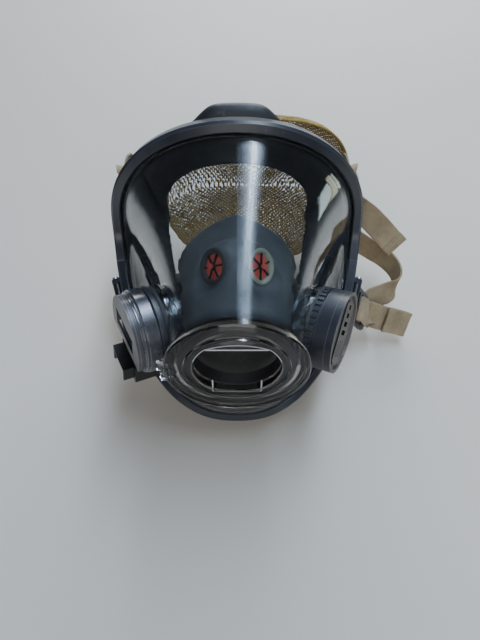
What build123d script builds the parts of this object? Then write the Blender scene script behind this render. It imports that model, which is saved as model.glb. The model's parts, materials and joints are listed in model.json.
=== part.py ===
from build123d import *
import math
import os

os.makedirs("parts", exist_ok=True)

# Full face respirator: wide moulded visor with a round regulator port, two side
# voicemitters, split bezel, rubber face seal, nose cup with two inhalation valves and a
# net head harness on four buckled straps.
#
# Row frame, millimetres: the origin is the centre of the regulator port's mouth, the port
# faces -Y, +Z is up and +X is the wearer's left.  The mask lies back as it stands on a
# table, so its frontal plane leans LEAN degrees.  Points of the frontal frame are
# (x, b, h): b runs back towards the head, h runs up the face.

# ---- driving dimensions ----
LEAN = 20.0            # lean of the frontal plane, degrees
EGG_A = 88.0           # half width of the bezel
EGG_HC = 38.0          # height of the widest line above the port centre
EGG_TOP = 79.0         # widest line to crown
EGG_BOT = 103.0        # widest line to chin
B_SIDE = 115.0         # depth of the bezel's front edge at the ears
D_TOP = 48.0           # how far the crown lies in front of the ears
D_BOT = 84.0           # how far the chin lies in front of the ears
BZ_W = 16.0            # bezel width, front to back
BZ_T = 6.5             # bezel thickness
LENS_T = 2.6           # visor wall
PORT_R = 40.0          # outer rim of the port
PORT_SEAT_R = 28.0     # recess for the regulator's gasket
PORT_LIP_R = 24.6      # inner lip of the port
VM_E = (62.0, 30.0, -5.0)   # centre of a voicemitter's outer face
VM_AZ = 27.0           # voicemitter axis, forward of sideways
VM_TILT = 8.0          # and upwards
VM_R = 24.5            # voicemitter housing radius
STRAP_W = 19.0
STRAP_T = 1.5
FLOOR_Z = -86.0        # the table

ca, sa = math.cos(math.radians(LEAN)), math.sin(math.radians(LEAN))


def row(x, b, h):
    return (x, b * ca + h * sa, -b * sa + h * ca)


B_HAT = (0.0, ca, -sa)


def add(p, q, k=1.0):
    return tuple(a + k * c for a, c in zip(p, q))


def cross(a, b):
    return (a[1] * b[2] - a[2] * b[1], a[2] * b[0] - a[0] * b[2], a[0] * b[1] - a[1] * b[0])


def unit(a):
    n = math.sqrt(sum(c * c for c in a))
    return tuple(c / n for c in a)


def dot(a, b):
    return sum(p * q for p, q in zip(a, b))


def smooth(s, e=0.22):
    return (math.sqrt(s * s + e * e) - e) / (math.sqrt(1 + e * e) - e)


def egg_xh(phi, grow=0.0):
    """Frontal outline, phi in degrees from the wearer's left, 90 at the crown."""
    c, s = math.cos(math.radians(phi)), math.sin(math.radians(phi))
    if s >= 0:
        x = (EGG_A + grow) * math.copysign(abs(c) ** 0.94, c)
        h = EGG_HC + (EGG_TOP + grow) * s
    else:
        x = (EGG_A + grow) * math.copysign(abs(c) ** 0.84, c) * (1 - 0.07 * s * s)
        h = EGG_HC + (EGG_BOT + grow) * s
    return x, h


def egg_b(phi):
    s = math.sin(math.radians(phi))
    return B_SIDE - (D_TOP if s >= 0 else D_BOT) * smooth(abs(s))


def radial(phi):
    """Outward normal of the outline in the frontal plane, as a row vector."""
    x0, h0 = egg_xh(phi - 0.5)
    x1, h1 = egg_xh(phi + 0.5)
    tx, th = x1 - x0, h1 - h0
    n = math.hypot(tx, th)
    return (th / n, -tx / n * sa, -tx / n * ca)


def at(phi, r, b):
    """Row point beside the bezel: r outwards from its outer face, b back from its front edge."""
    x, h = egg_xh(phi)
    p = row(x, egg_b(phi) + b, h)
    return add(p, radial(phi), r)


def spline_uniform(points):
    n = len(points) - 1
    return Edge.make_spline([Vector(*p) for p in points], parameters=[i / n for i in range(n + 1)])


def line(p, q):
    return Edge.make_line(Vector(*p), Vector(*q))


def poly_wire(points):
    return Wire([line(points[i], points[(i + 1) % len(points)]) for i in range(len(points))])


def ring_loft(section, phi0, phi1, n, ruled=False):
    """Solid through the polygon section(phi) at n + 1 stations."""
    wires = [poly_wire(section(phi0 + (phi1 - phi0) * i / n)) for i in range(n + 1)]
    return Solid.make_loft(wires, ruled)


def write(name, shape):
    solids = shape.solids() if hasattr(shape, "solids") else [shape]
    out = Compound(children=list(solids)) if len(solids) > 1 else solids[0]
    export_step(out, f"parts/{name}.step")
    print(name, len(solids), round(sum(s.volume for s in solids)), all(s.is_valid for s in solids))


def mirror_x(shape):
    return shape.mirror(Plane.YZ)


# =====================================================================================
# visor
# =====================================================================================
NECK_R = 37.0
NECK_Y = 4.0
FL_R = -7.3   # outer face of the lens flange inside the bezel


def lens_point(phi, t):
    """Outer face of the visor from the port's neck (t = 0) to the bezel's mouth (t = 1)."""
    c, s = math.cos(math.radians(phi)), math.sin(math.radians(phi))
    p0 = (NECK_R * c, NECK_Y, NECK_R * s)
    p1 = at(phi, FL_R, -1.0)
    px = 1.0 + 0.62 * abs(c) ** 1.5
    x = p0[0] + (p1[0] - p0[0]) * t ** px
    y = p0[1] + (p1[1] - p0[1]) * t
    z = p0[2] + (p1[2] - p0[2]) * t ** (1.0 + (0.10 if s < 0 else 0.0))
    bulge = 6.5 * max(0.0, s) ** 1.5 * 4 * t * (1 - t) * t ** 0.6
    return (x, y - 0.5 * bulge, z + 0.86 * bulge)


TS = [0.0, 0.07, 0.16, 0.28, 0.42, 0.56, 0.70, 0.83, 0.93]


def lens_outer(phi):
    pts = [lens_point(phi, t) for t in TS]
    pts.append(at(phi, FL_R, 1.2))
    pts.append(at(phi, FL_R, 4.5))
    pts.append(at(phi, FL_R, 9.8))
    return pts


def lens_offset(phi, d):
    here, before, after = lens_outer(phi), lens_outer(phi - 0.5), lens_outer(phi + 0.5)
    out = []
    for i, p in enumerate(here):
        a = here[max(0, i - 1)]
        b = here[min(len(here) - 1, i + 1)]
        if i >= len(here) - 2:
            n = radial(phi)
        else:
            along = unit(add(b, a, -1.0))
            round_ = unit(add(after[i], before[i], -1.0))
            n = unit(cross(round_, along))
            if dot(n, (p[0], -20.0, p[2])) < 0:
                n = tuple(-c for c in n)
        out.append(add(p, n, -d))
    return out


def lens_wire(phi):
    o, i = lens_outer(phi), lens_offset(phi, LENS_T)
    if abs(abs(phi) - 90) < 1e-6:
        o = [(0.0, p[1], p[2]) for p in o]
        i = [(0.0, p[1], p[2]) for p in i]
    return Wire([spline_uniform(o), line(o[-1], i[-1]), spline_uniform(i[::-1]), line(i[0], o[0])])


lens_half = Solid.make_loft([lens_wire(-90 + 180 * k / 16) for k in range(17)], False)
print("lens half", lens_half.is_valid, lens_half.volume)
lens = lens_half.fuse(mirror_x(lens_half))

# port: rim, dished face, gasket recess, inner lip keyed by a top flat and a bottom slot
port_profile = [
    (PORT_R - 0.8, -0.8), (PORT_R, 0.0), (PORT_R, 2.4), (NECK_R + 0.6, 3.8), (NECK_R + 0.6, 6.0), (PORT_SEAT_R + 4.4, 3.6),
    (PORT_SEAT_R - 0.6, 3.6), (PORT_SEAT_R - 0.6, 6.8), (PORT_LIP_R, 6.8), (PORT_LIP_R, 0.8), (PORT_SEAT_R, 0.8), (PORT_SEAT_R, -0.8),
    (PORT_SEAT_R + 1.2, -0.8), (PORT_SEAT_R + 1.8, 0.3), (PORT_R - 2.6, 0.0), (PORT_R - 2.2, -0.8),
]
port = Solid.revolve(Face(poly_wire([(r, y, 0.0) for r, y in port_profile])), 360, Axis.Y)
core = Cylinder(PORT_SEAT_R - 1.5, 1.4, rotation=(90, 0, 0)).moved(Location((0, 1.5, 0)))
port_flat = Box(60, 1.4, 10).moved(Location((0, 1.5, 18.2 + 5.0))) & core
port_shelf = Box(28, 1.4, 10).moved(Location((0, 1.5, -21.6 - 5.0))) & core
port_slot = Box(28, 6.0, 8).moved(Location((0, 5.2, -PORT_LIP_R - 1.0)))
lens = lens.fuse(port).cut(port_slot).fuse(port_flat).fuse(port_shelf)
# quarter-turn latch ear on the wearer's right of the rim
ear = Pos(-38.5, 2.6, -3) * Box(7.0, 4.4, 15)
ear = ear + Pos(-41.0, 1.2, 3.5) * Box(4.0, 3.2, 5) + Pos(-40.5, 4.0, -9) * Box(5.0, 3.2, 4)
lens = lens.fuse(*[e for e in ear.solids()])

VN = (math.cos(math.radians(VM_AZ)) * math.cos(math.radians(VM_TILT)), -math.sin(math.radians(VM_AZ)) * math.cos(math.radians(VM_TILT)), math.sin(math.radians(VM_TILT)))
VM_UP = unit(add((0.0, 0.0, 1.0), VN, -VN[2]))
VM_BACK = cross(VM_UP, VN)


def vm_plane(a, side=1):
    o = add(VM_E, VN, a)
    return Plane(origin=(side * o[0], o[1], o[2]), z_dir=(side * VN[0], VN[1], VN[2]), x_dir=(side * VM_UP[0], VM_UP[1], VM_UP[2]))


def disc(r, a0, a1, side=1):
    return Solid.make_cylinder(r, a1 - a0, vm_plane(a0, side))


def tube(r_out, r_in, a0, a1, side=1):
    return disc(r_out, a0, a1, side).cut(disc(r_in, a0 - 1, a1 + 1, side))


A_BOSS = -17.0
for side in (1, -1):
    boss = tube(24.0, 20.3, -26.0, A_BOSS, side)
    # web between the boss and the visor wall where the wall rises in front of it
    web = tube(28.4, 23.0, -22.0, -15.0, side) & vm_plane(-18.5, side).from_local_coords(Pos(6.5, 25.0 * side, 0) * Box(23, 30, 12))
    lens = lens.fuse(boss, *web.solids())
    lens = lens.cut(disc(20.3, -34.0, A_BOSS + 1, side)).cut(disc(26.4, A_BOSS, -5.0, side))
lens = max(lens.solids(), key=lambda s: s.volume)
write("lens", lens)


# =====================================================================================
# bezel halves
# =====================================================================================
def bezel_section(phi):
    rb = [
        (-BZ_T, 0.6), (-BZ_T + 0.6, 0.0), (-1.6, 0.0), (0.0, 1.6), (0.0, BZ_W - 1.0), (-1.0, BZ_W), (-BZ_T, BZ_W),
        (-BZ_T, BZ_W - 2.2), (-2.2, BZ_W - 2.2), (-2.2, 2.2), (-BZ_T, 2.2),
    ]
    return [at(phi, r, b) for r, b in rb]


SEAM = 11.5    # the halves meet this far below the widest line
GAP = 0.12
upper = ring_loft(bezel_section, -SEAM + GAP, 180 + SEAM - GAP, 24)
lower = ring_loft(bezel_section, -180 + SEAM + GAP, -SEAM - GAP, 20)


def frame_at(phi, r, b):
    """Plane at a bezel station: x outwards, z back; y runs up on the wearer's right, down on the left."""
    return Plane(origin=at(phi, r, b), x_dir=radial(phi), z_dir=B_HAT)


def block(phi, r0, r1, t0, t1, b0, b1):
    t0, t1 = min(t0, t1), max(t0, t1)
    return frame_at(phi, 0, 0).from_local_coords(Pos(r0, t0, b0) * Solid.make_box(r1 - r0, t1 - t0, b1 - b0))


# clamp ears behind the two seams, each pair drawn together by a screw and nut
screws, nuts = [], []
for phi, up in ((-SEAM, -1), (180 + SEAM, 1)):
    plug = ring_loft(lambda p: [at(p, -9.0, -4.0), at(p, -2.15, -4.0), at(p, -2.15, BZ_W - 2.15), at(p, -9.0, BZ_W - 2.15)], phi - 9, phi + 9, 6)
    e_up = block(phi, -6.0, -0.6, 0.3 * up, 8 * up, 10.0, 25.5).cut(plug)
    e_lo = block(phi, -6.0, -0.6, -0.3 * up, -8 * up, 10.0, 25.5).cut(plug)
    o = at(phi, -3.3, 22.4)
    axis_dir = unit(tuple(up * c for c in cross(B_HAT, radial(phi))))

    def on(k):
        return Plane(origin=add(o, axis_dir, k), z_dir=axis_dir)

    hole = Solid.make_cylinder(1.4, 24, on(-12))
    head_room, nut_room = Solid.make_cylinder(2.7, 3.4, on(8.02)), Solid.make_cylinder(2.7, 3.4, on(-11.42))
    upper = upper.fuse(e_up.cut(hole)).cut(head_room)
    lower = lower.fuse(e_lo.cut(hole)).cut(nut_room)
    screw = Solid.make_cylinder(1.25, 19.4, on(-11.2)).fuse(Solid.make_cylinder(2.4, 2.0, on(8.1)))
    screw = screw.cut(on(9.4).from_local_coords(Pos(-0.4, -3.5, 0) * Solid.make_box(0.8, 7, 2)))
    screws.append(screw)
    nuts.append(Solid.make_cylinder(2.4, 2.2, on(-10.4)).cut(Solid.make_cylinder(1.27, 4, on(-11.4))))


def biggest(s):
    return max(s.solids(), key=lambda q: q.volume)


write("bezel_screws", Compound(children=[biggest(s) for s in screws]))
write("bezel_nuts", Compound(children=[biggest(s) for s in nuts]))


# =====================================================================================
# face seal: bead in the bezel, skirt, in-turned face lip
# =====================================================================================
def seal_section(phi):
    s = math.sin(math.radians(phi))
    low = max(0.0, -s)
    top = max(0.0, s)
    back = 38.0 + 4.0 * top + 12.0 * low ** 2
    lip = -35.0 + 3.0 * top + 9.0 * low
    rb = [
        (-2.6, 2.7), (-2.6, BZ_W - 2.6), (-6.9, BZ_W - 2.6), (-6.9, BZ_W + 0.8),
        (-6.9, BZ_W + 11), (-4.8, back - 5), (-7.5, back + 1.5), (-14.0, back + 4.0), (lip, back - 1.0),
        (lip, back - 3.2), (-14.5, back + 1.3), (-9.6, back - 1.5), (-7.4, back - 5), (-9.6, BZ_W + 10), (-9.9, BZ_W - 0.5),
        (-9.9, 10.3), (-6.9, 10.3), (-6.9, 2.7),
    ]
    return [at(phi, r, b) for r, b in rb]


seal_a = ring_loft(seal_section, -90, 90, 24)
seal_b = ring_loft(seal_section, 90, 270, 24)
print("seal", seal_a.is_valid, seal_b.is_valid, seal_a.volume)
seal = seal_a.fuse(seal_b)


# forehead lug, sections across X
lug_pts = []
for x, rise in ((-35, 0.2), (-27, 3.0), (-14.5, 9.8), (14.5, 9.8), (27, 3.0), (35, 0.2)):
    phi = math.degrees(math.acos(max(-1, min(1, math.copysign((abs(x) / EGG_A) ** (1 / 0.94), x)))))
    b0, b1 = 17.2, 33.0
    lug_pts.append(poly_wire([
        at(phi, -7.0, b0 + 1.5), at(phi, -2.5 + rise * 0.9, b0), at(phi, -1.5 + rise, b0 + 3), at(phi, -2.0 + rise, b0 + 9), at(phi, -5.2, b1), at(phi, -7.0, b1 + 1),
    ]))
lug = Solid.make_loft(lug_pts, True)
print("lug", lug.is_valid, lug.volume)
seal = seal.fuse(lug)
write("face_seal", biggest(seal))



# =====================================================================================
# nose cup and what is clipped into it
# =====================================================================================
NC_R = 28.4
NC_Y = 11.5
NC_T = 2.0


def ease(t):
    t = max(0.0, min(1.0, t))
    return t * t * (3 - 2 * t)


def cup_outer(phi, t):
    """Outer face of the nose cup from its front ring (t = 0) to its face edge (t = 1)."""
    c, s = math.cos(math.radians(phi)), math.sin(math.radians(phi))
    yb = 84.0 + (12.0 if s > 0 else 24.0) * s
    y = NC_Y + (yb - NC_Y) * t
    k = ease(t / 0.45)
    half = NC_R + 6.0 * k + 5.0 * t
    mid = -7.0 * k
    top = NC_R + 14.0 * ease(t / 0.42) - 13.0 * ease((t - 0.42) / 0.58)
    bot = -NC_R - 30.0 * t ** 0.8
    ex = 1.0 + (0.62 * k if s > 0 else -0.1 * k)
    x = half * math.copysign(abs(c) ** ex, c)
    z = mid + ((top - mid) if s > 0 else (mid - bot)) * s
    return (x, y, z)


CUP_TS = [0.0, 0.1, 0.22, 0.36, 0.5, 0.66, 0.83, 1.0]


def cup_wall(phi, d):
    grid = {}
    for dp in (-0.5, 0.0, 0.5):
        grid[dp] = [cup_outer(phi + dp, t) for t in CUP_TS]
    out = []
    for i, t in enumerate(CUP_TS):
        p = grid[0.0][i]
        a = cup_outer(phi, max(0.0, t - 0.02))
        b = cup_outer(phi, min(1.0, t + 0.02))
        n = unit(cross(add(grid[0.5][i], grid[-0.5][i], -1.0), add(b, a, -1.0)))
        if dot(n, (p[0], -8.0, p[2])) < 0:
            n = tuple(-q for q in n)
        out.append(add(p, n, -d))
    return out


def cup_wire(phi):
    o, i = cup_wall(phi, 0.0), cup_wall(phi, NC_T)
    if abs(abs(phi) - 90) < 1e-6:
        o = [(0.0, p[1], p[2]) for p in o]
        i = [(0.0, p[1], p[2]) for p in i]
    return Wire([spline_uniform(o), line(o[-1], i[-1]), spline_uniform(i[::-1]), line(i[0], o[0])])


cup_half = Solid.make_loft([cup_wire(-90 + 180 * k / 14) for k in range(15)], False)
print("cup half", cup_half.is_valid, cup_half.volume)
cup = cup_half.fuse(mirror_x(cup_half))

# inhalation valves: pad moulded in the cup, seat with a hub and spokes, flap behind it
VALVE = (12.2, 45.4, 33.6)
VALVE_N = unit((0.72, -0.44, 0.54))


def valve_plane(a, side=1):
    o = add(VALVE, VALVE_N, a)
    return Plane(origin=(side * o[0], o[1], o[2]), z_dir=(side * VALVE_N[0], VALVE_N[1], VALVE_N[2]), x_dir=(side * 0.0, 0.775, 0.632))


seats, flaps = {}, {}
for side, tag in ((1, "left"), (-1, "right")):
    pl = lambda a, side=side: valve_plane(a, side)
    cup = cup.fuse(Solid.make_cylinder(11.2, 5.0, pl(-4.0)))
    cup = cup.cut(Solid.make_cylinder(8.4, 22.0, pl(-16.0)))
    cup = cup.cut(Solid.make_cylinder(9.6, 10.0, pl(-13.9))).cut(Solid.make_cylinder(10.6, 8.0, pl(1.05)))
    seat = Solid.make_cylinder(10.0, 0.9, pl(1.3)).fuse(Solid.make_cylinder(8.1, 5.4, pl(-3.8)))
    seat = seat.cut(Solid.make_cylinder(7.2, 12.0, pl(-6.0)))
    seat = seat.fuse(Solid.make_cylinder(1.8, 1.4, pl(0.5)))
    for k in range(6):
        arm = Pos(0.9, -0.45, 0.0) * Solid.make_box(6.7, 0.9, 1.1)
        seat = seat.fuse(pl(0.5).from_local_coords(Rot(0, 0, 60 * k + 15) * arm))
    seat = seat.cut(Solid.make_cylinder(0.95, 12.0, pl(-6.0)))
    seats[tag] = biggest(seat)
    flap = Solid.make_cylinder(6.9, 0.6, pl(-0.5)).fuse(Solid.make_cylinder(0.8, 3.5, pl(-0.2))).fuse(Solid.make_cylinder(1.5, 0.7, pl(2.8)))
    flaps[tag] = biggest(flap)
    write(f"inhalation_seat_{tag}", seats[tag])
    write(f"inhalation_flap_{tag}", flaps[tag])

# collars that slip over the voicemitter ducts
for side in (1, -1):
    cup = cup.fuse(tube(21.2, 18.4, -39.0, -31.0, side))
    cup = cup.cut(disc(18.4, -50.0, -20.0, side)).cut(tube(30.0, 18.0, -31.0, -10.0, side))
cup = biggest(cup)
write("nose_cup", cup)

# clamp ring that holds the cup's front ring in the visor neck
ring = Solid.revolve(Face(poly_wire([(24.8, 7.2, 0), (33.4, 7.2, 0), (33.4, 9.6, 0), (30.4, 11.0, 0), (26.0, 11.0, 0), (26.0, 15.4, 0), (24.8, 15.4, 0)])), 360, Axis.Y)
write("port_clamp_ring", biggest(ring))

# =====================================================================================
# voicemitters
# =====================================================================================
for side, tag in ((1, "left"), (-1, "right")):
    duct = disc(18.0, -34.0, -6.0, side).fuse(disc(20.0, -28.0, -24.5, side)).cut(disc(16.2, -36.0, -4.0, side))
    write(f"voicemitter_duct_{tag}", biggest(duct))
    gasket = tube(24.4, 20.0, A_BOSS + 0.1, -15.1, side)
    write(f"voicemitter_gasket_{tag}", biggest(gasket))
    if side > 0:
        teeth = 40
        star = []
        for k in range(teeth):
            for r, da in ((24.4, -0.22), (24.4, 0.22), (23.2, 0.34), (23.2, 0.66)):
                a = 2 * math.pi * (k + da) / teeth
                star.append((r * math.cos(a), r * math.sin(a), 0.0))
        toothed = vm_plane(-15.0, side).from_local_coords(Solid.extrude(Face(poly_wire(star)), Vector(0, 0, 3.4)))
        body_tube = toothed.fuse(disc(22.6, -11.7, -10.4, side)).fuse(disc(VM_R, -10.5, -3.2, side))
        body_tube = body_tube.cut(disc(18.3, -16.0, 0.0, side)).cut(disc(22.6, -6.0, 0.0, side))
        write("voicemitter_body_left", biggest(body_tube))
    dia = disc(18.2, -5.9, -5.5, side).fuse(tube(15.2, 13.6, -5.6, -4.9, side)).fuse(tube(10.4, 8.8, -5.6, -4.9, side)).fuse(disc(4.2, -5.6, -4.9, side))
    write(f"voicemitter_diaphragm_{tag}", biggest(dia))
    hold = tube(22.5, 18.4, -5.9, -4.4, side).fuse(tube(22.5, 16.4, -4.8, -3.6, side))
    write(f"voicemitter_ring_{tag}", biggest(hold))

# round louvred cover on the wearer's left
cover = disc(24.5, -3.1, -0.6, 1).fuse(tube(24.5, 22.6, -0.7, 0.9, 1)).cut(disc(21.6, -3.3, -1.9, 1))
COVER_TURN = 50.0      # the cover is turned back from upright
turned = math.radians(COVER_TURN)
pl = Plane(origin=vm_plane(-0.6, 1).origin, x_dir=tuple(math.cos(turned) * a + math.sin(turned) * b for a, b in zip(VM_UP, VM_BACK)), z_dir=VN)


def local(shape, x, y, z, plane, turn=0.0):
    return plane.from_local_coords(Pos(x, y, z) * Rot(0, 0, turn) * shape)


panel = Solid.make_cylinder(19.5, 0.9).intersect(Pos(-20, -9.5, -1) * Solid.make_box(40, 19, 3))
panel = panel.solids()[0] if hasattr(panel, "solids") else panel
cover = cover.fuse(pl.from_local_coords(panel))
for x, w in ((15.6, 4.6), (10.6, 6.6), (5.4, 8.2), (0.2, 9.6)):
    cover = cover.cut(local(Box(3.0, w, 8), x, 0, 0, pl))
for k in range(5):
    cover = cover.cut(local(Box(10.5, 0.9, 1.6), -9.6, -6.0 + 3.0 * k, 1.2, pl))
write("voicemitter_cover_left", biggest(cover))

# voice amplifier bracket on the wearer's right
pl = vm_plane(0.0, -1)
band = disc(24.6, -15.0, -13.4, -1).fuse(disc(25.2, -13.6, -3.0, -1)).fuse(disc(24.6, -3.2, -1.6, -1)).fuse(disc(23.6, -1.8, -0.2, -1))
band = band.cut(disc(18.3, -16.0, 1.0, -1)).cut(disc(22.6, -6.0, 1.0, -1))
write("amplifier_bracket_ring", biggest(band))
plate = disc(23.6, 2.2, 3.8, -1)
# window and lower edge of the plate; local +x is up, local +y runs backwards
plate = plate.cut(local(Box(30, 60, 8), -24.0, 0, 3.5, pl)).cut(local(Box(11, 15, 8), 2.0, 8.0, 3.5, pl))
stand = tube(23.6, 21.6, 0.0, 2.4, -1).cut(local(Box(60, 60, 8), -24.0, 0, 1.4, pl))
plate = plate.fuse(stand)
write("amplifier_bracket_plate", biggest(plate))
sock = local(Box(17, 24, 15), -27.0, 2.0, -5.6, pl).fuse(local(Box(14, 20, 8), -25.5, 2.0, 4.6, pl))
sock = sock.cut(disc(25.35, -17.5, 0.1, -1)).cut(disc(23.8, 0.0, 9.0, -1)).cut(local(Box(10.5, 17, 12), -29.5, 2.0, 4.2, pl)).cut(local(Box(9, 18.5, 9.6), -33.5, 2.0, -6.0, pl))
write("amplifier_socket", biggest(sock))


# =====================================================================================
# buckles: ears on the bezel, pin, frame with a finger tab, roller
# =====================================================================================
TEMPLE = (16.0, 21.0, -2.6, 0.0)    # bezel angle, depth behind its front edge, distance outside its face, swing out
NECK = (-25.5, 6.5, 3.6, 45.0)
NECK_OUT_RIGHT = 16.0               # the right neck buckle lies closer to the skirt
ROLLER_V = 17.0


def buckle_frame(phi, b, rise, out, side):
    """Origin at the pin, u along the pin (upwards), v towards the strap, w = u x v."""
    p = at(phi, rise, b)
    u = unit(add(at(phi + 1, 0, b), at(phi - 1, 0, b), -1.0))
    n = radial(phi)
    n = unit(add(n, u, -dot(n, u)))
    q = unit(cross(u, n))
    if q[1] < 0:
        q = tuple(-c for c in q)
    k = math.radians(out)
    v = unit(add(tuple(math.cos(k) * c for c in q), n, math.sin(k)))
    if side < 0:
        p, u, v = (-p[0], p[1], p[2]), (-u[0], u[1], u[2]), (-v[0], v[1], v[2])
    return p, u, v


def rod(r, u0, u1, v=0.0):
    return Pos(u0, v, 0) * Rot(0, 90, 0) * Solid.make_cylinder(r, u1 - u0)


def brick(u0, u1, v0, v1, w0, w1):
    return Pos(u0, v0, w0) * Solid.make_box(u1 - u0, v1 - v0, w1 - w0)


def slab(points, w0, w1):
    return Pos(0, 0, w0) * Solid.extrude(Face(poly_wire([(x, y, 0.0) for x, y in points])), Vector(0, 0, w1 - w0))


tab_pts = [(-12.6, 24.6), (3.4, 24.6), (3.4, 28.5), (1.0, 31.4), (-4.6, 32.2), (-10.2, 31.4), (-12.6, 28.5)]
frame_l = rod(2.9, -13.2, 13.2).fuse(
    brick(-13.2, -10.2, 0, 25, -1.4, 1.4), brick(10.2, 13.2, 0, 25, -1.4, 1.4), brick(-10.6, 10.6, 8, 10.6, -1.4, 1.4),
    brick(-10.6, 10.6, 22.6, 25.0, -1.2, 1.2), slab(tab_pts, -0.9, 0.9),
).cut(rod(1.55, -20, 20), rod(1.2, -20, 20, ROLLER_V))
pin_l = rod(1.5, -17.2, 17.2).fuse(rod(2.3, -18.4, -17.1), rod(2.3, 17.1, 18.4))
roller_l = rod(2.0, -9.9, 9.9, ROLLER_V).fuse(rod(1.15, -12.9, 12.9, ROLLER_V))
loop_l = brick(-9.5, 9.5, ROLLER_V, 27.0, 2.4, 3.9).fuse(
    brick(-9.5, 9.5, ROLLER_V, 27.0, -3.9, -2.4),
    rod(3.9, -9.5, 9.5, ROLLER_V).cut(rod(2.4, -12, 12, ROLLER_V), brick(-12, 12, ROLLER_V, 40, -6, 6)),
)
frame_l, roller_l, loop_l, pin_l = biggest(frame_l), biggest(roller_l), biggest(loop_l), biggest(pin_l)

buckles = {}
for kind, (phi, b, rise, out) in (("temple", TEMPLE), ("neck", NECK)):
    for tag, side in (("left", 1), ("right", -1)):
        swing = NECK_OUT_RIGHT if (kind, tag) == ("neck", "right") else out
        p, u, v = buckle_frame(phi, b, rise, swing, side)
        buckles[kind, tag] = (p, u, v)
        pl = Plane(origin=p, x_dir=u, z_dir=cross(u, v))
        n = radial(phi)
        n = (side * n[0], n[1], n[2])
        n = unit(add(n, u, -dot(n, u)))
        # ears stand on the bezel: on its back flange at the temples, on its outer face at the neck
        if kind == "temple":
            foot = unit(add(v, n, -dot(v, n)))
            foot = tuple(-c for c in foot)
            reach, off = 9.0, 0.0
        else:
            foot = tuple(-c for c in n)
            reach, off = 6.4, 0.0
        ears_pl = Plane(origin=p, x_dir=u, z_dir=tuple(-c for c in foot))
        keep = ring_loft(lambda q: [at(q, -9.5, -4.0), at(q, -1.0 if kind == "neck" else -2.15, -4.0), at(q, -1.0 if kind == "neck" else -2.15, BZ_W - 0.6 if kind == "temple" else BZ_W + 6), at(q, -9.5, BZ_W - 0.6 if kind == "temple" else BZ_W + 6)], phi - 16, phi + 16, 6)
        if side < 0:
            keep = mirror_x(keep)
        for s0 in (-1, 1):
            e = (Pos(13.7, 0, 0) * Rot(0, 90, 0) * Solid.make_cylinder(3.0, 3.0)).fuse(brick(13.7, 16.7, -3.0, 3.0, -reach, 0.0))
            e = e.cut(rod(1.52, 0, 30))
            e = ears_pl.from_local_coords(e if s0 > 0 else e.rotate(Axis.Z, 180))
            e = biggest(e.cut(keep))
            if kind == "temple":
                upper = upper.fuse(e)
            else:
                lower = lower.fuse(e)
        write(f"{kind}_buckle_{tag}", biggest(pl.from_local_coords(frame_l)))
        write(f"{kind}_buckle_pin_{tag}", biggest(pl.from_local_coords(pin_l)))
        write(f"{kind}_roller_{tag}", biggest(pl.from_local_coords(roller_l)))
        write(f"{kind}_strap_loop_{tag}", biggest(pl.from_local_coords(loop_l)))
        print(kind, tag, [round(c, 2) for c in p], [round(c, 4) for c in u], [round(c, 4) for c in v])

seal_solid = biggest(seal)
upper, lower = biggest(upper).cut(seal_solid), biggest(lower).cut(seal_solid)
write("upper_bezel", biggest(upper))
write("lower_bezel", biggest(lower))


# =====================================================================================
# webbing and net
# =====================================================================================
def ribbon(path, widths, width=STRAP_W, thick=STRAP_T):
    """Flat band along path; widths gives the direction across the band at each station."""
    wires = []
    for i, p in enumerate(path):
        t = unit(add(path[min(len(path) - 1, i + 1)], path[max(0, i - 1)], -1.0))
        w = widths[i]
        w = unit(add(w, t, -dot(w, t)))
        n = cross(t, w)
        c = []
        for a, b in ((-0.5, -0.5), (0.5, -0.5), (0.5, 0.5), (-0.5, 0.5)):
            c.append(add(add(p, w, a * width), n, b * thick))
        wires.append(poly_wire(c))
    return Solid.make_loft(wires, True)


def flip(path):
    return [(-x, y, z) for x, y, z in path]


temple_tail = [(86.5, 171.3, -4), (93, 167, -15), (103, 161.5, -22), (113, 155.5, -29.5), (122, 150, -37)]
temple_tail_w = [(-0.1, -0.1, 1), (0.15, 0.0, 1), (0.45, 0.2, 0.8), (0.7, 0.3, 0.62), (0.78, 0.34, 0.5)]
temple_run = [(79.4, 175.2, 0.5), (78.9, 180.0, -5.0), (78.2, 186.0, -8.0)]
neck_run = [(100.5, 103.5, -58), (111, 110.5, -60), (120.5, 115, -60), (126.5, 121, -58), (128.5, 131, -57), (127, 143, -58), (121, 153.5, -58), (111, 161, -56), (101, 167, -52), (93.5, 176, -48), (92.5, 187, -46)]
neck_run_w = [(0, 0.4, 0.9)] * 3 + [(0.1, 0.1, 1)] * 8

write("temple_strap_tail_left", ribbon(temple_tail, temple_tail_w))
write("temple_strap_left", ribbon(temple_run, [(0, -0.2, 1)] * 3))

# the tail of the left neck strap is folded back on itself and stands on edge
fold_e = unit((0.95, -0.26, -0.176))
fold_w = unit(add((0.0, 0.62, 0.78), fold_e, -dot((0.0, 0.62, 0.78), fold_e)))
fold_f = cross(fold_w, fold_e)
fold_o = (98.5, 94.5, -61.5)
fold_mid = [(4, 2.4), (7.5, 3.6), (12, 3.2), (19, -2.8), (26, -6.6), (31, -7.8), (33.6, -6.6), (34.0, -4.2), (31.6, -2.6), (26.5, -1.6), (20, 2.2), (14.5, 7.4)]


def offset_line(mid, d):
    out = []
    for i, m in enumerate(mid):
        a, b = mid[max(0, i - 1)], mid[min(len(mid) - 1, i + 1)]
        dx, dy = b[0] - a[0], b[1] - a[1]
        n = math.hypot(dx, dy)
        out.append((m[0] - dy / n * d, m[1] + dx / n * d))
    return out


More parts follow.
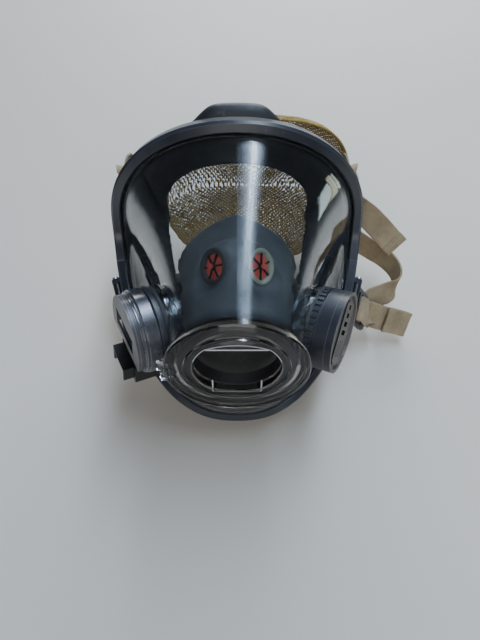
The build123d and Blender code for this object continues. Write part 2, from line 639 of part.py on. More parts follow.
fold_plane = Plane(origin=add(fold_o, fold_w, -STRAP_W / 2), x_dir=fold_e, z_dir=fold_w)
fold = offset_line(fold_mid, STRAP_T / 2) + offset_line(fold_mid, -STRAP_T / 2)[::-1]
fold_face = Face(poly_wire([(x, -y, 0.0) for x, y in fold]))
write("neck_strap_tail_left", fold_plane.from_local_coords(Solid.extrude(fold_face, Vector(0, 0, STRAP_W))))
write("neck_strap_left", ribbon(neck_run, neck_run_w))
end, back = temple_tail[-1], temple_tail[-2]
t = unit(add(end, back, -1.0))
write("temple_strap_hem_left", ribbon([add(end, t, 0.4), add(end, t, 7.6)], [temple_tail_w[-1]] * 2, STRAP_W, 3.4))

temple_tail_r = [(-84, 171.5, -2), (-85, 169, -13), (-84.5, 165, -25)]
temple_run_r = [(-76.5, 173.0, 9), (-70, 180, 4), (-63, 187, 0)]
neck_run_r = [(-87, 112.5, -60), (-88, 126, -56), (-86, 142, -50), (-80, 158, -46), (-70, 174, -45), (-66, 187, -44)]
neck_tail_r = [(-84, 111.5, -67.5), (-77, 122, -72.5), (-66, 131, -75.5), (-52, 138, -76)]
write("temple_strap_tail_right", ribbon(temple_tail_r, [(0.1, -0.1, 1), (0.1, 0.2, 1), (0.1, 0.35, 0.9)]))
write("temple_strap_right", ribbon(temple_run_r, [(0, -0.2, 1)] * 3))
write("neck_strap_tail_right", ribbon(neck_tail_r, [(0, 0.5, 0.85)] * 4))
write("neck_strap_right", ribbon(neck_run_r, [(0, 0.2, 1)] * 6))

NET_T = 2.0


def net_section(y, f, d):
    pts = []
    for k in range(48):
        a = 2 * math.pi * k / 48
        c, s = math.cos(a), math.sin(a)
        ax = 74 * f - d
        az = (79 * f if s > 0 else 57.8 * f) - d
        e = 0.62 if s > 0 else 0.8
        pts.append(Vector(14 + ax * math.copysign(abs(c) ** e, c), y, -28 + az * math.copysign(abs(s) ** e, s)))
    return Wire([Edge.make_spline(pts, periodic=True)])


NET_STEPS = ((175.0, 1.0), (188.0, 0.97), (200.0, 0.84), (209.0, 0.64), (214.0, 0.42))
# dome of netting, open towards the face
net_out = Solid.make_loft([net_section(y, f, 0) for y, f in NET_STEPS], False)
net_in = Solid.make_loft([net_section(y - (1.0 if i == 0 else NET_T * (0.3 + 0.17 * i)), f, NET_T) for i, (y, f) in enumerate(NET_STEPS)], False)
net = net_out.cut(net_in)
write("harness_net", biggest(net))
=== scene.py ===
import json
import math

import bmesh
import mathutils
import mathutils.geometry
import bpy
from mathutils import Matrix, Vector, noise

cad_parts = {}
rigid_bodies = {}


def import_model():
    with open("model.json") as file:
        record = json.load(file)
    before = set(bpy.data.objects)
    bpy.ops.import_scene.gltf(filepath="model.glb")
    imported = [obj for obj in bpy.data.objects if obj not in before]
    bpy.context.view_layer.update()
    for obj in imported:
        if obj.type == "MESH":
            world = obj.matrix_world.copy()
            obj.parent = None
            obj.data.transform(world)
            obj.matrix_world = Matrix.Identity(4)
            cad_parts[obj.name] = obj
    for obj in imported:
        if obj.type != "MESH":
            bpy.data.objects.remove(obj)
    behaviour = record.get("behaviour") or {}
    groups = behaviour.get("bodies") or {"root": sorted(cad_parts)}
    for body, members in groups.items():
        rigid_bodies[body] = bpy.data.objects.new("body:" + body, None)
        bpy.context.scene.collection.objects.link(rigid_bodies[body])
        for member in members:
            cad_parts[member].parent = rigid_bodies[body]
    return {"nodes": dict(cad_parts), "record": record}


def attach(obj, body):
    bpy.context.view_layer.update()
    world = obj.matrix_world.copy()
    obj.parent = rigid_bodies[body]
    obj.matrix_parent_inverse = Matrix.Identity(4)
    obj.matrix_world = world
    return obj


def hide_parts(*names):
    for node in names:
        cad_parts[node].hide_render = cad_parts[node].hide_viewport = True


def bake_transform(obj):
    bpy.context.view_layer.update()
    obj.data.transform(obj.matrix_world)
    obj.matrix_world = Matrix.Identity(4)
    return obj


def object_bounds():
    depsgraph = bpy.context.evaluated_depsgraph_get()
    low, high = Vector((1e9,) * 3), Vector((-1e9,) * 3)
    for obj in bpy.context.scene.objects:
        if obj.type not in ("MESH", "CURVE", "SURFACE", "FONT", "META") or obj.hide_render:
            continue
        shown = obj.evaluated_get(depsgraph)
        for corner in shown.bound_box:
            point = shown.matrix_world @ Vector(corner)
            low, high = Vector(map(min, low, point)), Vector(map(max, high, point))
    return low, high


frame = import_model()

CAD_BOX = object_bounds()
MM = 0.001

# ------------------------------------------------------------------ shared geometry
LEAN = math.radians(20.0)
CA, SA = math.cos(LEAN), math.sin(LEAN)
EGG_A, EGG_HC, EGG_TOP, EGG_BOT = 88.0, 38.0, 79.0, 103.0
B_SIDE, D_TOP, D_BOT, BZ_W = 115.0, 48.0, 84.0, 16.0


def V(*p):
    return Vector(p)


def row(x, b, h):
    return V(x, b * CA + h * SA, -b * SA + h * CA)


def soft_abs(s, e=0.22):
    return (math.sqrt(s * s + e * e) - e) / (math.sqrt(1 + e * e) - e)


def egg_xh(phi):
    c, s = math.cos(math.radians(phi)), math.sin(math.radians(phi))
    if s >= 0:
        return EGG_A * math.copysign(abs(c) ** 0.94, c), EGG_HC + EGG_TOP * s
    return EGG_A * math.copysign(abs(c) ** 0.84, c) * (1 - 0.07 * s * s), EGG_HC + EGG_BOT * s


def egg_b(phi):
    s = math.sin(math.radians(phi))
    return B_SIDE - (D_TOP if s >= 0 else D_BOT) * soft_abs(abs(s))


def radial(phi):
    x0, h0 = egg_xh(phi - 0.5)
    x1, h1 = egg_xh(phi + 0.5)
    tx, th = x1 - x0, h1 - h0
    n = math.hypot(tx, th)
    return V(th / n, -tx / n * SA, -tx / n * CA)


def at(phi, r, b):
    x, h = egg_xh(phi)
    return row(x, egg_b(phi) + b, h) + radial(phi) * r


def mix(a, b, t):
    return a + (b - a) * t


def ease(t):
    t = max(0.0, min(1.0, t))
    return t * t * (3 - 2 * t)


def bell(x, w):
    return math.exp(-(x / w) ** 2)


# ------------------------------------------------------------------ mesh helpers
def new_object(name, verts, faces, material, smooth=True, scale=MM):
    mesh = bpy.data.meshes.new(name)
    mesh.from_pydata([tuple(c * scale for c in v) for v in verts], [], faces)
    mesh.validate()
    bm = bmesh.new()
    bm.from_mesh(mesh)
    bmesh.ops.recalc_face_normals(bm, faces=bm.faces)
    bm.to_mesh(mesh)
    bm.free()
    for p in mesh.polygons:
        p.use_smooth = smooth
    obj = bpy.data.objects.new(name, mesh)
    bpy.context.scene.collection.objects.link(obj)
    if material:
        mesh.materials.append(material)
    return obj


def apply_all(obj):
    """Freeze the object's modifiers into its mesh."""
    deps = bpy.context.evaluated_depsgraph_get()
    mesh = bpy.data.meshes.new_from_object(obj.evaluated_get(deps))
    old = obj.data
    obj.modifiers.clear()
    obj.data = mesh
    bpy.data.meshes.remove(old)
    for p in mesh.polygons:
        p.use_smooth = True
    return obj


def subdivide(obj, levels=1):
    m = obj.modifiers.new("sub", "SUBSURF")
    m.levels = m.render_levels = levels
    return apply_all(obj)


def grid_faces(rows, cols, wrap_rows, wrap_cols):
    faces = []
    for i in range(rows if wrap_rows else rows - 1):
        for j in range(cols if wrap_cols else cols - 1):
            a = i * cols + j
            b = i * cols + (j + 1) % cols
            c = ((i + 1) % rows) * cols + (j + 1) % cols
            d = ((i + 1) % rows) * cols + j
            faces.append((a, b, c, d))
    return faces


# ------------------------------------------------------------------ materials
class Tree:
    def __init__(self, name):
        self.mat = bpy.data.materials.new(name)
        self.mat.use_nodes = True
        self.t = self.mat.node_tree
        self.p = self.t.nodes["Principled BSDF"]
        self.coord = self.t.nodes.new("ShaderNodeTexCoord").outputs["Object"]

    def node(self, kind, **kw):
        n = self.t.nodes.new(kind)
        for k, v in kw.items():
            if hasattr(n, k) and not isinstance(v, tuple):
                setattr(n, k, v)
            else:
                n.inputs[k].default_value = v
        return n

    def link(self, a, b):
        self.t.links.new(a, b)

    def noise(self, scale, detail=3.0, rough=0.5, coord=None, distortion=0.0):
        n = self.t.nodes.new("ShaderNodeTexNoise")
        n.inputs["Scale"].default_value = scale
        n.inputs["Detail"].default_value = detail
        n.inputs["Roughness"].default_value = rough
        n.inputs["Distortion"].default_value = distortion
        self.link(coord or self.coord, n.inputs["Vector"])
        return n.outputs["Fac"]

    def voronoi(self, scale, coord=None, feature="F1"):
        n = self.t.nodes.new("ShaderNodeTexVoronoi")
        n.feature = feature
        n.inputs["Scale"].default_value = scale
        self.link(coord or self.coord, n.inputs["Vector"])
        return n.outputs["Distance"]

    def ramp(self, fac, stops, mode="LINEAR"):
        n = self.t.nodes.new("ShaderNodeValToRGB")
        n.color_ramp.interpolation = mode
        while len(n.color_ramp.elements) < len(stops):
            n.color_ramp.elements.new(0.5)
        for e, (pos, col) in zip(n.color_ramp.elements, stops):
            e.position = pos
            e.color = (*col, 1.0) if len(col) == 3 else col
        self.link(fac, n.inputs["Fac"])
        return n.outputs["Color"]

    def span(self, fac, lo, hi, a=0.0, b=1.0):
        n = self.t.nodes.new("ShaderNodeMapRange")
        for k, v in (("From Min", a), ("From Max", b), ("To Min", lo), ("To Max", hi)):
            n.inputs[k].default_value = v
        self.link(fac, n.inputs["Value"])
        return n.outputs["Result"]

    def math(self, op, a, b=None):
        n = self.t.nodes.new("ShaderNodeMath")
        n.operation = op
        for i, v in enumerate((a, b)):
            if v is None:
                continue
            if isinstance(v, (int, float)):
                n.inputs[i].default_value = v
            else:
                self.link(v, n.inputs[i])
        return n.outputs[0]

    def blend(self, fac, a, b, mode="MIX"):
        n = self.t.nodes.new("ShaderNodeMix")
        n.data_type = "RGBA"
        n.blend_type = mode
        if isinstance(fac, (int, float)):
            n.inputs[0].default_value = fac
        else:
            self.link(fac, n.inputs[0])
        for i, v in ((6, a), (7, b)):
            if isinstance(v, tuple):
                n.inputs[i].default_value = (*v, 1.0)
            else:
                self.link(v, n.inputs[i])
        return n.outputs[2]

    def bump(self, *layers):
        prev = None
        for height, strength, dist in layers:
            n = self.t.nodes.new("ShaderNodeBump")
            n.inputs["Strength"].default_value = strength
            n.inputs["Distance"].default_value = dist
            self.link(height, n.inputs["Height"])
            if prev is not None:
                self.link(prev, n.inputs["Normal"])
            prev = n.outputs["Normal"]
        self.link(prev, self.p.inputs["Normal"])

    def set(self, **kw):
        for k, v in kw.items():
            self.p.inputs[k.replace("_", " ")].default_value = v
        return self

    def edges(self, radius=0.0009):
        """1 on worn edges, 0 on flats."""
        bevel = self.t.nodes.new("ShaderNodeBevel")
        bevel.samples = 4
        bevel.inputs["Radius"].default_value = radius
        geo = self.t.nodes.new("ShaderNodeNewGeometry")
        dot = self.t.nodes.new("ShaderNodeVectorMath")
        dot.operation = "DOT_PRODUCT"
        self.link(bevel.outputs[0], dot.inputs[0])
        self.link(geo.outputs["Normal"], dot.inputs[1])
        return self.span(dot.outputs["Value"], 1.0, 0.0, 0.80, 0.985)


def plastic(name, base, light, rough=(0.32, 0.46), grain=2600.0, grain_depth=0.00004, coat=0.0, scuff=0.55, spec=0.5, metal=0.0):
    m = Tree(name)
    m.p.inputs["Metallic"].default_value = metal
    broad = m.noise(38.0, 4.0, 0.6)
    fine = m.noise(grain, 2.0, 0.6)
    dust = m.noise(420.0, 8.0, 0.72)
    scratch_map = m.t.nodes.new("ShaderNodeMapping")
    scratch_map.inputs["Scale"].default_value = (1.0, 14.0, 1.0)
    scratch_map.inputs["Rotation"].default_value = (0.3, 0.5, 0.9)
    m.link(m.coord, scratch_map.inputs["Vector"])
    scratch = m.noise(260.0, 6.0, 0.75, scratch_map.outputs["Vector"], 0.4)
    col = m.blend(m.ramp(broad, [(0.3, (0, 0, 0)), (0.75, (1, 1, 1))]), base, light)
    col = m.blend(m.math("MULTIPLY", m.edges(), scuff), col, tuple(min(1.0, c * 3.2 + 0.05) for c in light))
    col = m.blend(m.ramp(dust, [(0.60, (0, 0, 0)), (0.80, (0.22, 0.22, 0.22))]), col, (0.34, 0.33, 0.31))
    m.link(col, m.p.inputs["Base Color"])
    r = m.math("ADD", m.span(broad, rough[0], rough[1], 0.25, 0.75), m.span(scratch, 0.0, 0.16, 0.55, 0.8))
    m.link(r, m.p.inputs["Roughness"])
    m.p.inputs["Specular IOR Level"].default_value = spec
    m.p.inputs["Coat Weight"].default_value = coat
    m.p.inputs["Coat Roughness"].default_value = 0.18
    m.bump((fine, 0.35, grain_depth), (scratch, 0.12, 0.00006), (broad, 0.15, 0.0006))
    return m.mat


def rubber(name, base, light, rough=(0.5, 0.66), sheen=0.0):
    m = Tree(name)
    broad = m.noise(30.0, 5.0, 0.6)
    pores = m.voronoi(1500.0)
    dust = m.noise(210.0, 9.0, 0.75)
    col = m.blend(m.ramp(broad, [(0.32, (0, 0, 0)), (0.72, (1, 1, 1))]), base, light)
    col = m.blend(m.ramp(dust, [(0.56, (0, 0, 0)), (0.82, (0.35, 0.35, 0.35))]), col, (0.33, 0.33, 0.33))
    m.link(col, m.p.inputs["Base Color"])
    m.link(m.span(dust, rough[0], rough[1], 0.3, 0.7), m.p.inputs["Roughness"])
    m.p.inputs["Specular IOR Level"].default_value = 0.45
    m.p.inputs["Sheen Weight"].default_value = sheen
    m.p.inputs["Sheen Roughness"].default_value = 0.4
    m.bump((pores, 0.18, 0.00005), (broad, 0.25, 0.0008))
    return m.mat


def steel(name, tint=(0.55, 0.55, 0.56), rough=(0.22, 0.4)):
    m = Tree(name)
    stretch = m.t.nodes.new("ShaderNodeMapping")
    stretch.inputs["Scale"].default_value = (6.0, 6.0, 90.0)
    m.link(m.coord, stretch.inputs["Vector"])
    brush = m.noise(90.0, 6.0, 0.7, stretch.outputs["Vector"])
    spots = m.noise(900.0, 4.0, 0.6)
    col = m.blend(m.ramp(spots, [(0.45, (0, 0, 0)), (0.75, (1, 1, 1))]), tint, tuple(c * 0.55 for c in tint))
    m.link(col, m.p.inputs["Base Color"])
    m.p.inputs["Metallic"].default_value = 1.0
    m.link(m.span(brush, rough[0], rough[1], 0.3, 0.7), m.p.inputs["Roughness"])
    m.bump((brush, 0.2, 0.00005))
    return m.mat


def clear(name):
    m = Tree(name)
    dust = m.noise(520.0, 10.0, 0.8)
    smear = m.noise(28.0, 4.0, 0.6, distortion=1.2)
    # the thick port moulding looks darker than the thin dome round it
    sep = m.t.nodes.new("ShaderNodeSeparateXYZ")
    m.link(m.coord, sep.inputs[0])
    radius = m.math("SQRT", m.math("ADD", m.math("MULTIPLY", sep.outputs[0], sep.outputs[0]), m.math("MULTIPLY", sep.outputs[2], sep.outputs[2])))
    port = m.math("MULTIPLY", m.span(radius, 1.0, 0.0, 0.0400, 0.0425), m.span(sep.outputs[1], 1.0, 0.0, 0.0070, 0.0105))
    tint = m.blend(m.ramp(dust, [(0.66, (0, 0, 0)), (0.84, (0.5, 0.5, 0.5))]), (0.80, 0.845, 0.87), (0.70, 0.72, 0.74))
    m.link(m.blend(port, tint, (0.40, 0.385, 0.37)), m.p.inputs["Base Color"])
    haze = m.math("ADD", m.span(smear, 0.0, 0.035, 0.45, 0.8), m.span(dust, 0.012, 0.16, 0.64, 0.9))
    m.link(m.math("ADD", haze, m.math("MULTIPLY", port, 0.06)), m.p.inputs["Roughness"])
    m.p.inputs["IOR"].default_value = 1.43
    m.p.inputs["Transmission Weight"].default_value = 1.0
    m.bump((smear, 0.05, 0.0015),)
    return m.mat


def webbing(name, base, light, dark):
    """Woven band: the UV runs across (u, metres) and along (v, metres)."""
    m = Tree(name)
    uv = m.t.nodes.new("ShaderNodeUVMap")
    uv.uv_map = "weave"
    sep = m.t.nodes.new("ShaderNodeSeparateXYZ")
    m.link(uv.outputs["UV"], sep.inputs[0])
    pitch_u, pitch_v = 0.00095, 0.00078
    u = m.math("MULTIPLY", sep.outputs[0], 2 * math.pi / pitch_u)
    v = m.math("MULTIPLY", sep.outputs[1], 2 * math.pi / pitch_v)
    half = m.math("MULTIPLY", u, 0.5)
    shift = m.math("MULTIPLY", m.math("SIGN", m.math("SINE", half)), math.pi / 2)
    warp = m.math("ABSOLUTE", m.math("SINE", half))
    weft = m.math("MULTIPLY", m.math("ADD", m.math("SINE", m.math("ADD", v, shift)), 1.0), 0.5)
    height = m.math("MULTIPLY", m.math("POWER", warp, 0.6), m.math("ADD", m.math("MULTIPLY", weft, 0.6), 0.4))
    fuzz = m.noise(2400.0, 4.0, 0.7)
    soil = m.noise(60.0, 6.0, 0.65)
    slub = m.noise(520.0, 3.0, 0.75)
    # the hollows between the yarns are painted dark: painted shade of the weave
    col = m.blend(m.span(height, 0.0, 1.0, 0.05, 0.75), dark, base)
    col = m.blend(m.span(slub, 0.0, 0.55, 0.48, 0.72), col, dark)
    col = m.blend(m.ramp(soil, [(0.35, (0, 0, 0)), (0.7, (0.8, 0.8, 0.8))]), col, light)
    col = m.blend(m.span(fuzz, 0.0, 0.35, 0.4, 0.8), col, tuple(c * 1.25 for c in light))
    m.link(col, m.p.inputs["Base Color"])
    m.p.inputs["Roughness"].default_value = 0.88
    m.p.inputs["Specular IOR Level"].default_value = 0.2
    m.p.inputs["Sheen Weight"].default_value = 0.35
    m.p.inputs["Sheen Roughness"].default_value = 0.5
    m.p.inputs["Sheen Tint"].default_value = (0.9, 0.8, 0.62, 1)
    m.bump((height, 0.9, 0.00028), (fuzz, 0.5, 0.00012))
    return m.mat


def yarn(name, base, light, sheen=0.4):
    m = Tree(name)
    twist = m.t.nodes.new("ShaderNodeTexWave")
    twist.bands_direction = "DIAGONAL"
    twist.inputs["Scale"].default_value = 1500.0
    twist.inputs["Distortion"].default_value = 3.0
    twist.inputs["Detail"].default_value = 2.0
    m.link(m.coord, twist.inputs["Vector"])
    broad = m.noise(45.0, 5.0, 0.65)
    glint = m.noise(1300.0, 3.0, 0.6)
    col = m.blend(m.ramp(broad, [(0.3, (0, 0, 0)), (0.7, (1, 1, 1))]), base, light)
    # the twist grooves are painted darker: painted shade in the grooves
    col = m.blend(m.span(twist.outputs["Fac"], 0.45, 0.0, 0.2, 0.8), col, tuple(c * 0.4 for c in base))
    m.link(col, m.p.inputs["Base Color"])
    m.link(m.span(glint, 0.42, 0.8, 0.35, 0.65), m.p.inputs["Roughness"])
    m.p.inputs["Sheen Weight"].default_value = sheen
    m.p.inputs["Sheen Tint"].default_value = (1.0, 0.82, 0.45, 1)
    m.bump((twist.outputs["Fac"], 0.7, 0.0002))
    return m.mat


M = {
    "lens_clear": clear("visor_clear"),
    "bezel_black": plastic("bezel_satin", (0.018, 0.021, 0.028), (0.036, 0.042, 0.056), (0.30, 0.42), coat=0.08),
    "housing_black": plastic("housing_satin", (0.014, 0.016, 0.023), (0.03, 0.034, 0.046), (0.33, 0.45), coat=0.05),
    "ring_black": plastic("ring_black", (0.02, 0.02, 0.022), (0.035, 0.035, 0.04)),
    "buckle_black": plastic("buckle_black", (0.012, 0.012, 0.014), (0.026, 0.026, 0.03), (0.28, 0.4)),
    "bracket_gloss": plastic("bracket_gunmetal", (0.066, 0.067, 0.078), (0.112, 0.114, 0.130), (0.20, 0.32), coat=0.5, scuff=0.8, metal=0.55),
    # port mouth beads: a near-white painted highlight and a darker painted-shade copy of it
    "lip_painted_highlight": plastic("lip_painted_highlight", (0.60, 0.63, 0.66), (0.80, 0.82, 0.84), (0.12, 0.22), coat=0.4, scuff=0.0),
    "lip_painted_shade": plastic("lip_painted_shade", (0.13, 0.135, 0.14), (0.22, 0.225, 0.23), (0.15, 0.25), coat=0.4, scuff=0.0),
    "plate_gunmetal": plastic("plate_gunmetal", (0.052, 0.050, 0.060), (0.085, 0.082, 0.096), (0.34, 0.46), coat=0.15, scuff=0.7, metal=0.3),
    "socket_black": plastic("socket_black", (0.006, 0.006, 0.007), (0.011, 0.011, 0.012), (0.4, 0.55), scuff=0.2),
    # near-black painted shade for slots, grooves and the parts seen through the bracket window
    "slot_painted_shade": plastic("slot_painted_shade", (0.002, 0.002, 0.002), (0.004, 0.004, 0.004), (0.85, 0.95), scuff=0.0),
    "cover_grey": plastic("cover_grey", (0.075, 0.067, 0.062), (0.12, 0.108, 0.10), (0.42, 0.55), grain=1800.0, grain_depth=0.00008, scuff=0.6),
    # seat_olive and seat_dark are lit and shaded copies of one seat colour: the dark one is painted shade
    "seat_olive": plastic("seat_olive", (0.36, 0.39, 0.29), (0.50, 0.53, 0.41), (0.3, 0.42), scuff=0.3),
    "seat_dark": plastic("seat_dark", (0.05, 0.05, 0.05), (0.09, 0.09, 0.088), (0.4, 0.55), scuff=0.3),
    "valve_black": plastic("valve_black", (0.012, 0.012, 0.013), (0.022, 0.022, 0.024), (0.35, 0.5), scuff=0.1),
    # near-black painted shade for the inside of the nose cup
    "cup_inside_painted_shade": rubber("cup_inside_painted_shade", (0.008, 0.009, 0.011), (0.016, 0.018, 0.021), (0.4, 0.6)),
    "seal_rubber": rubber("seal_rubber", (0.012, 0.014, 0.018), (0.026, 0.029, 0.036), (0.42, 0.6)),
    "gasket_rubber": rubber("gasket_rubber", (0.03, 0.034, 0.037), (0.055, 0.06, 0.064), (0.6, 0.75)),
    "cup_silicone": rubber("cup_silicone", (0.105, 0.120, 0.134), (0.165, 0.184, 0.202), (0.40, 0.55), sheen=0.12),
    "flap_red": rubber("flap_red", (0.95, 0.075, 0.06), (1.0, 0.20, 0.16), (0.35, 0.5)),
    "pin_steel": steel("pin_steel"),
    "screw_steel": steel("screw_steel", (0.42, 0.42, 0.44)),
    "diaphragm_foil": steel("diaphragm_foil", (0.62, 0.63, 0.64), (0.16, 0.3)),
    "webbing_tan": webbing("webbing_tan", (0.33, 0.255, 0.155), (0.44, 0.35, 0.225), (0.12, 0.088, 0.05)),
    "net_yarn": yarn("net_yarn", (0.33, 0.20, 0.035), (0.72, 0.49, 0.12), 0.12),
}
TAN_THREAD = yarn("tan_thread", (0.38, 0.30, 0.19), (0.52, 0.43, 0.29))

slots = {s["node"]: s["material_slot"] for s in frame["record"]["subparts"]}


def node_object(name):
    entry = frame["nodes"][name]
    return entry if isinstance(entry, bpy.types.Object) else bpy.data.objects[entry["object"] if isinstance(entry, dict) and "object" in entry else name]


for node, slot in slots.items():
    obj = node_object(node)
    obj.data.materials.clear()
    obj.data.materials.append(M[slot])

node_object("amplifier_bracket_plate").data.materials[0] = M["plate_gunmetal"]
node_object("amplifier_socket").data.materials[0] = M["socket_black"]

# ------------------------------------------------------------------ face seal
SEAL_N = 150
LUG = ((0.0, 9.8), (13.6, 9.8), (15.6, 9.3), (26.5, 3.3), (29.0, 2.4), (35.0, 0.3), (38.0, 0.0), (200.0, 0.0))


def seal_section(phi):
    s = math.sin(math.radians(phi))
    low, top = max(0.0, -s), max(0.0, s)
    back = 38.0 + 4.0 * top + 12.0 * low ** 2
    lip = -35.0 + 3.0 * top + 9.0 * low
    x = egg_xh(phi)[0]
    # forehead lug: a flat-topped lump on the crown, wide at its foot
    lug = 0.0
    if s > 0:
        a = abs(x)
        for (x0, r0), (x1, r1) in zip(LUG, LUG[1:]):
            if x0 <= a < x1:
                lug = r0 + (r1 - r0) * (a - x0) / (x1 - x0)
    chin = bell((phi - 270 if phi > 90 else phi + 90), 34.0)
    rb = [
        (-2.7, 2.9), (-2.7, BZ_W - 2.8), (-7.0, BZ_W - 2.6), (-7.0, BZ_W + 0.8),
        (-5.9 + lug * 0.45, BZ_W + 1.6), (-4.4 + lug * 1.02, BZ_W + 3.2), (-4.6 + lug * 1.16, BZ_W + 8.0), (-5.4 + lug * 1.1, BZ_W + 12.5), (-5.9 + lug * 0.35, BZ_W + 16.0),
        (-5.2 + 0.6 * chin, back - 6), (-5.6 + 0.4 * chin, back - 2), (-8.4, back + 2.2), (-12.4, back + 4.0), (-20.0, back + 3.4), (lip + 5, back + 0.9), (lip + 0.4, back - 1.2),
        (lip, back - 2.2), (lip + 1.0, back - 3.2), (-20.0, back + 1.0), (-12.9, back + 1.4), (-9.2, back - 2.0), (-8.0, back - 7), (-9.0, BZ_W + 12), (-9.7, BZ_W + 4), (-9.9, BZ_W - 0.5),
        (-9.9, 10.5), (-7.2, 10.5), (-7.2, 2.9),
    ]
    return [at(phi, r, b) for r, b in rb]


verts = []
for k in range(SEAL_N):
    phi = -90 + 360.0 * k / SEAL_N
    verts += seal_section(phi)
cols = len(verts) // SEAL_N
seal = new_object("seal_moulding", verts, grid_faces(SEAL_N, cols, True, True), M["seal_rubber"])
subdivide(seal, 1)
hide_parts("face_seal")
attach(seal, "mask")

# ------------------------------------------------------------------ nose cup
NC_R, NC_Y, NC_T = 28.4, 11.5, 2.0
VM_E = V(62.0, 30.0, -5.0)
VM_N = V(math.cos(math.radians(27)) * math.cos(math.radians(8)), -math.sin(math.radians(27)) * math.cos(math.radians(8)), math.sin(math.radians(8)))
VALVE = V(12.2, 45.4, 33.6)
VALVE_N = V(0.72, -0.44, 0.54).normalized()


def cup_point(phi, t):
    c, s = math.cos(math.radians(phi)), math.sin(math.radians(phi))
    yb = 84.0 + (12.0 if s > 0 else 24.0) * s
    y = NC_Y + (yb - NC_Y) * t
    k = ease(t / 0.45)
    half = NC_R + 6.0 * k + 5.0 * t
    mid = -7.0 * k
    top = NC_R + 14.0 * ease(t / 0.42) - 13.0 * ease((t - 0.42) / 0.58)
    bot = -NC_R - 30.0 * t ** 0.8
    ex = 1.0 + (0.62 * k if s > 0 else -0.1 * k)
    return V(half * math.copysign(abs(c) ** ex, c), y, mid + ((top - mid) if s > 0 else (mid - bot)) * s)


def side_v(v, side):
    return V(side * v.x, v.y, v.z)


def press_cup(p, side):
    """Flatten the cup into the valve pads and swell it towards the ducts."""
    q = side_v(p, side)
    n = VALVE_N
    d = q - VALVE
    h = d.dot(n)
    r = (d - n * h).length
    if abs(h) < 14:
        k = 1 - ease((r - 10.8) / 6.5)
        q = q + n * (0.6 - h) * k
    d = q - VM_E
    a = d.dot(VM_N)
    r = (d - VM_N * a).length
    if -48 < a < -24 and r > 18.0:
        k = (1 - ease((r - 19.0) / 9.0)) * (1 - ease((a + 34.0) / 9.0 if a > -34 else 0.0))
        q = q + VM_N * (max(0.0, -33.0 - a)) * 0.72 * k
    return side_v(q, side)


CUP_N, CUP_T = 144, 30


def cup_skin(d):
    out = []
    for k in range(CUP_N):
        phi = -90 + 360.0 * (k + 0.5) / CUP_N
        for i in range(CUP_T + 1):
            t = i / CUP_T
            f = lambda p, q: cup_point(p, max(0.0, min(1.0, q)))
            p = f(phi, t)
            n = (f(phi + 1, t) - f(phi - 1, t)).cross(f(phi, t + 0.02) - f(phi, t - 0.02)).normalized()
            if n.dot(V(p.x, -8.0, p.z)) < 0:
                n = -n
            q = press_cup(p, 1 if p.x > 0 else -1)
            # rolled bead along the face edge
            bead = 1.0 * bell((t - 1.0) * 60, 4.0)
            out.append(q + n * (bead - d))
    return out


outer, inner = cup_skin(0.0), cup_skin(NC_T)
n_skin = len(outer)
faces = grid_faces(CUP_N, CUP_T + 1, True, False)
faces += [tuple(n_skin + i for i in f[::-1]) for f in grid_faces(CUP_N, CUP_T + 1, True, False)]
for k in range(CUP_N):
    a, b = k * (CUP_T + 1), ((k + 1) % CUP_N) * (CUP_T + 1)
    faces.append((a, b, n_skin + b, n_skin + a))
    faces.append((a + CUP_T, n_skin + a + CUP_T, n_skin + b + CUP_T, b + CUP_T))
# open the wall at the valves and the ducts
verts = outer + inner


def in_hole(p):
    for side in (1, -1):
        q = side_v(p, side)
        d = q - VALVE
        h = d.dot(VALVE_N)
        if abs(h) < 12 and (d - VALVE_N * h).length < 8.6:
            return True
        d = q - VM_E
        a = d.dot(VM_N)
        if -46 < a < -20 and (d - VM_N * a).length < 18.2:
            return True
    return False


hole = [in_hole(p) for p in verts]
faces = [f for f in faces if sum(hole[i] for i in f) < 3]
cup = new_object("cup_moulding", verts, faces, M["cup_silicone"])
subdivide(cup, 1)
cup.data.materials.append(M["cup_inside_painted_shade"])
# inward-facing polygons of the cup get the painted-shade black
for poly in cup.data.polygons:
    c = poly.center * 1000
    flat = V(c.x, 0, c.z + 7.0)
    if poly.normal.dot(V(c.x, -8.0, c.z)) < -0.15 * c.length:
        poly.material_index = 1
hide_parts("nose_cup")
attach(cup, "mask")


LIP_R = 24.7


def lip_path():
    """Outline of the port's mouth: round, flat on top, cut off flat at the bottom."""
    top, half, deep = 18.2, 14.0, 21.9
    pts = []
    a0 = math.degrees(math.asin(top / LIP_R))
    a1 = -math.degrees(math.acos(half / LIP_R))
    for k in range(25):
        a = math.radians(a0 + (a1 - a0) * k / 24)
        pts.append(V(LIP_R * math.cos(a), 0.8, LIP_R * math.sin(a)))
    pts += [V(half + 0.1, 0.7, -21.2), V(half - 0.6, 0.7, -deep), V(half - 5.0, 0.7, -deep), V(0, 0.7, -deep), V(5.0 - half, 0.7, -deep), V(0.6 - half, 0.7, -deep), V(-half - 0.1, 0.7, -21.2)]
    left = [V(-q.x, q.y, q.z) for q in pts[:25]]
    pts += left[::-1]
    x = LIP_R * math.cos(math.radians(a0))
    pts += [V(x * (1 - 2 * k / 8) * -1, 0.8, top) for k in range(1, 8)]
    return pts


def lathe(name, profile, origin, axis, up, material, n=72):
    """Closed ring: profile of (radius, height along axis)."""
    axis = axis.normalized()
    ex = (up - axis * up.dot(axis)).normalized()
    ey = axis.cross(ex)
    vs = []
    for k in range(n):
        a = 2 * math.pi * k / n
        d = ex * math.cos(a) + ey * math.sin(a)
        vs += [origin + d * r + axis * h for r, h in profile]
    return new_object(name, vs, grid_faces(n, len(profile), True, True), material)
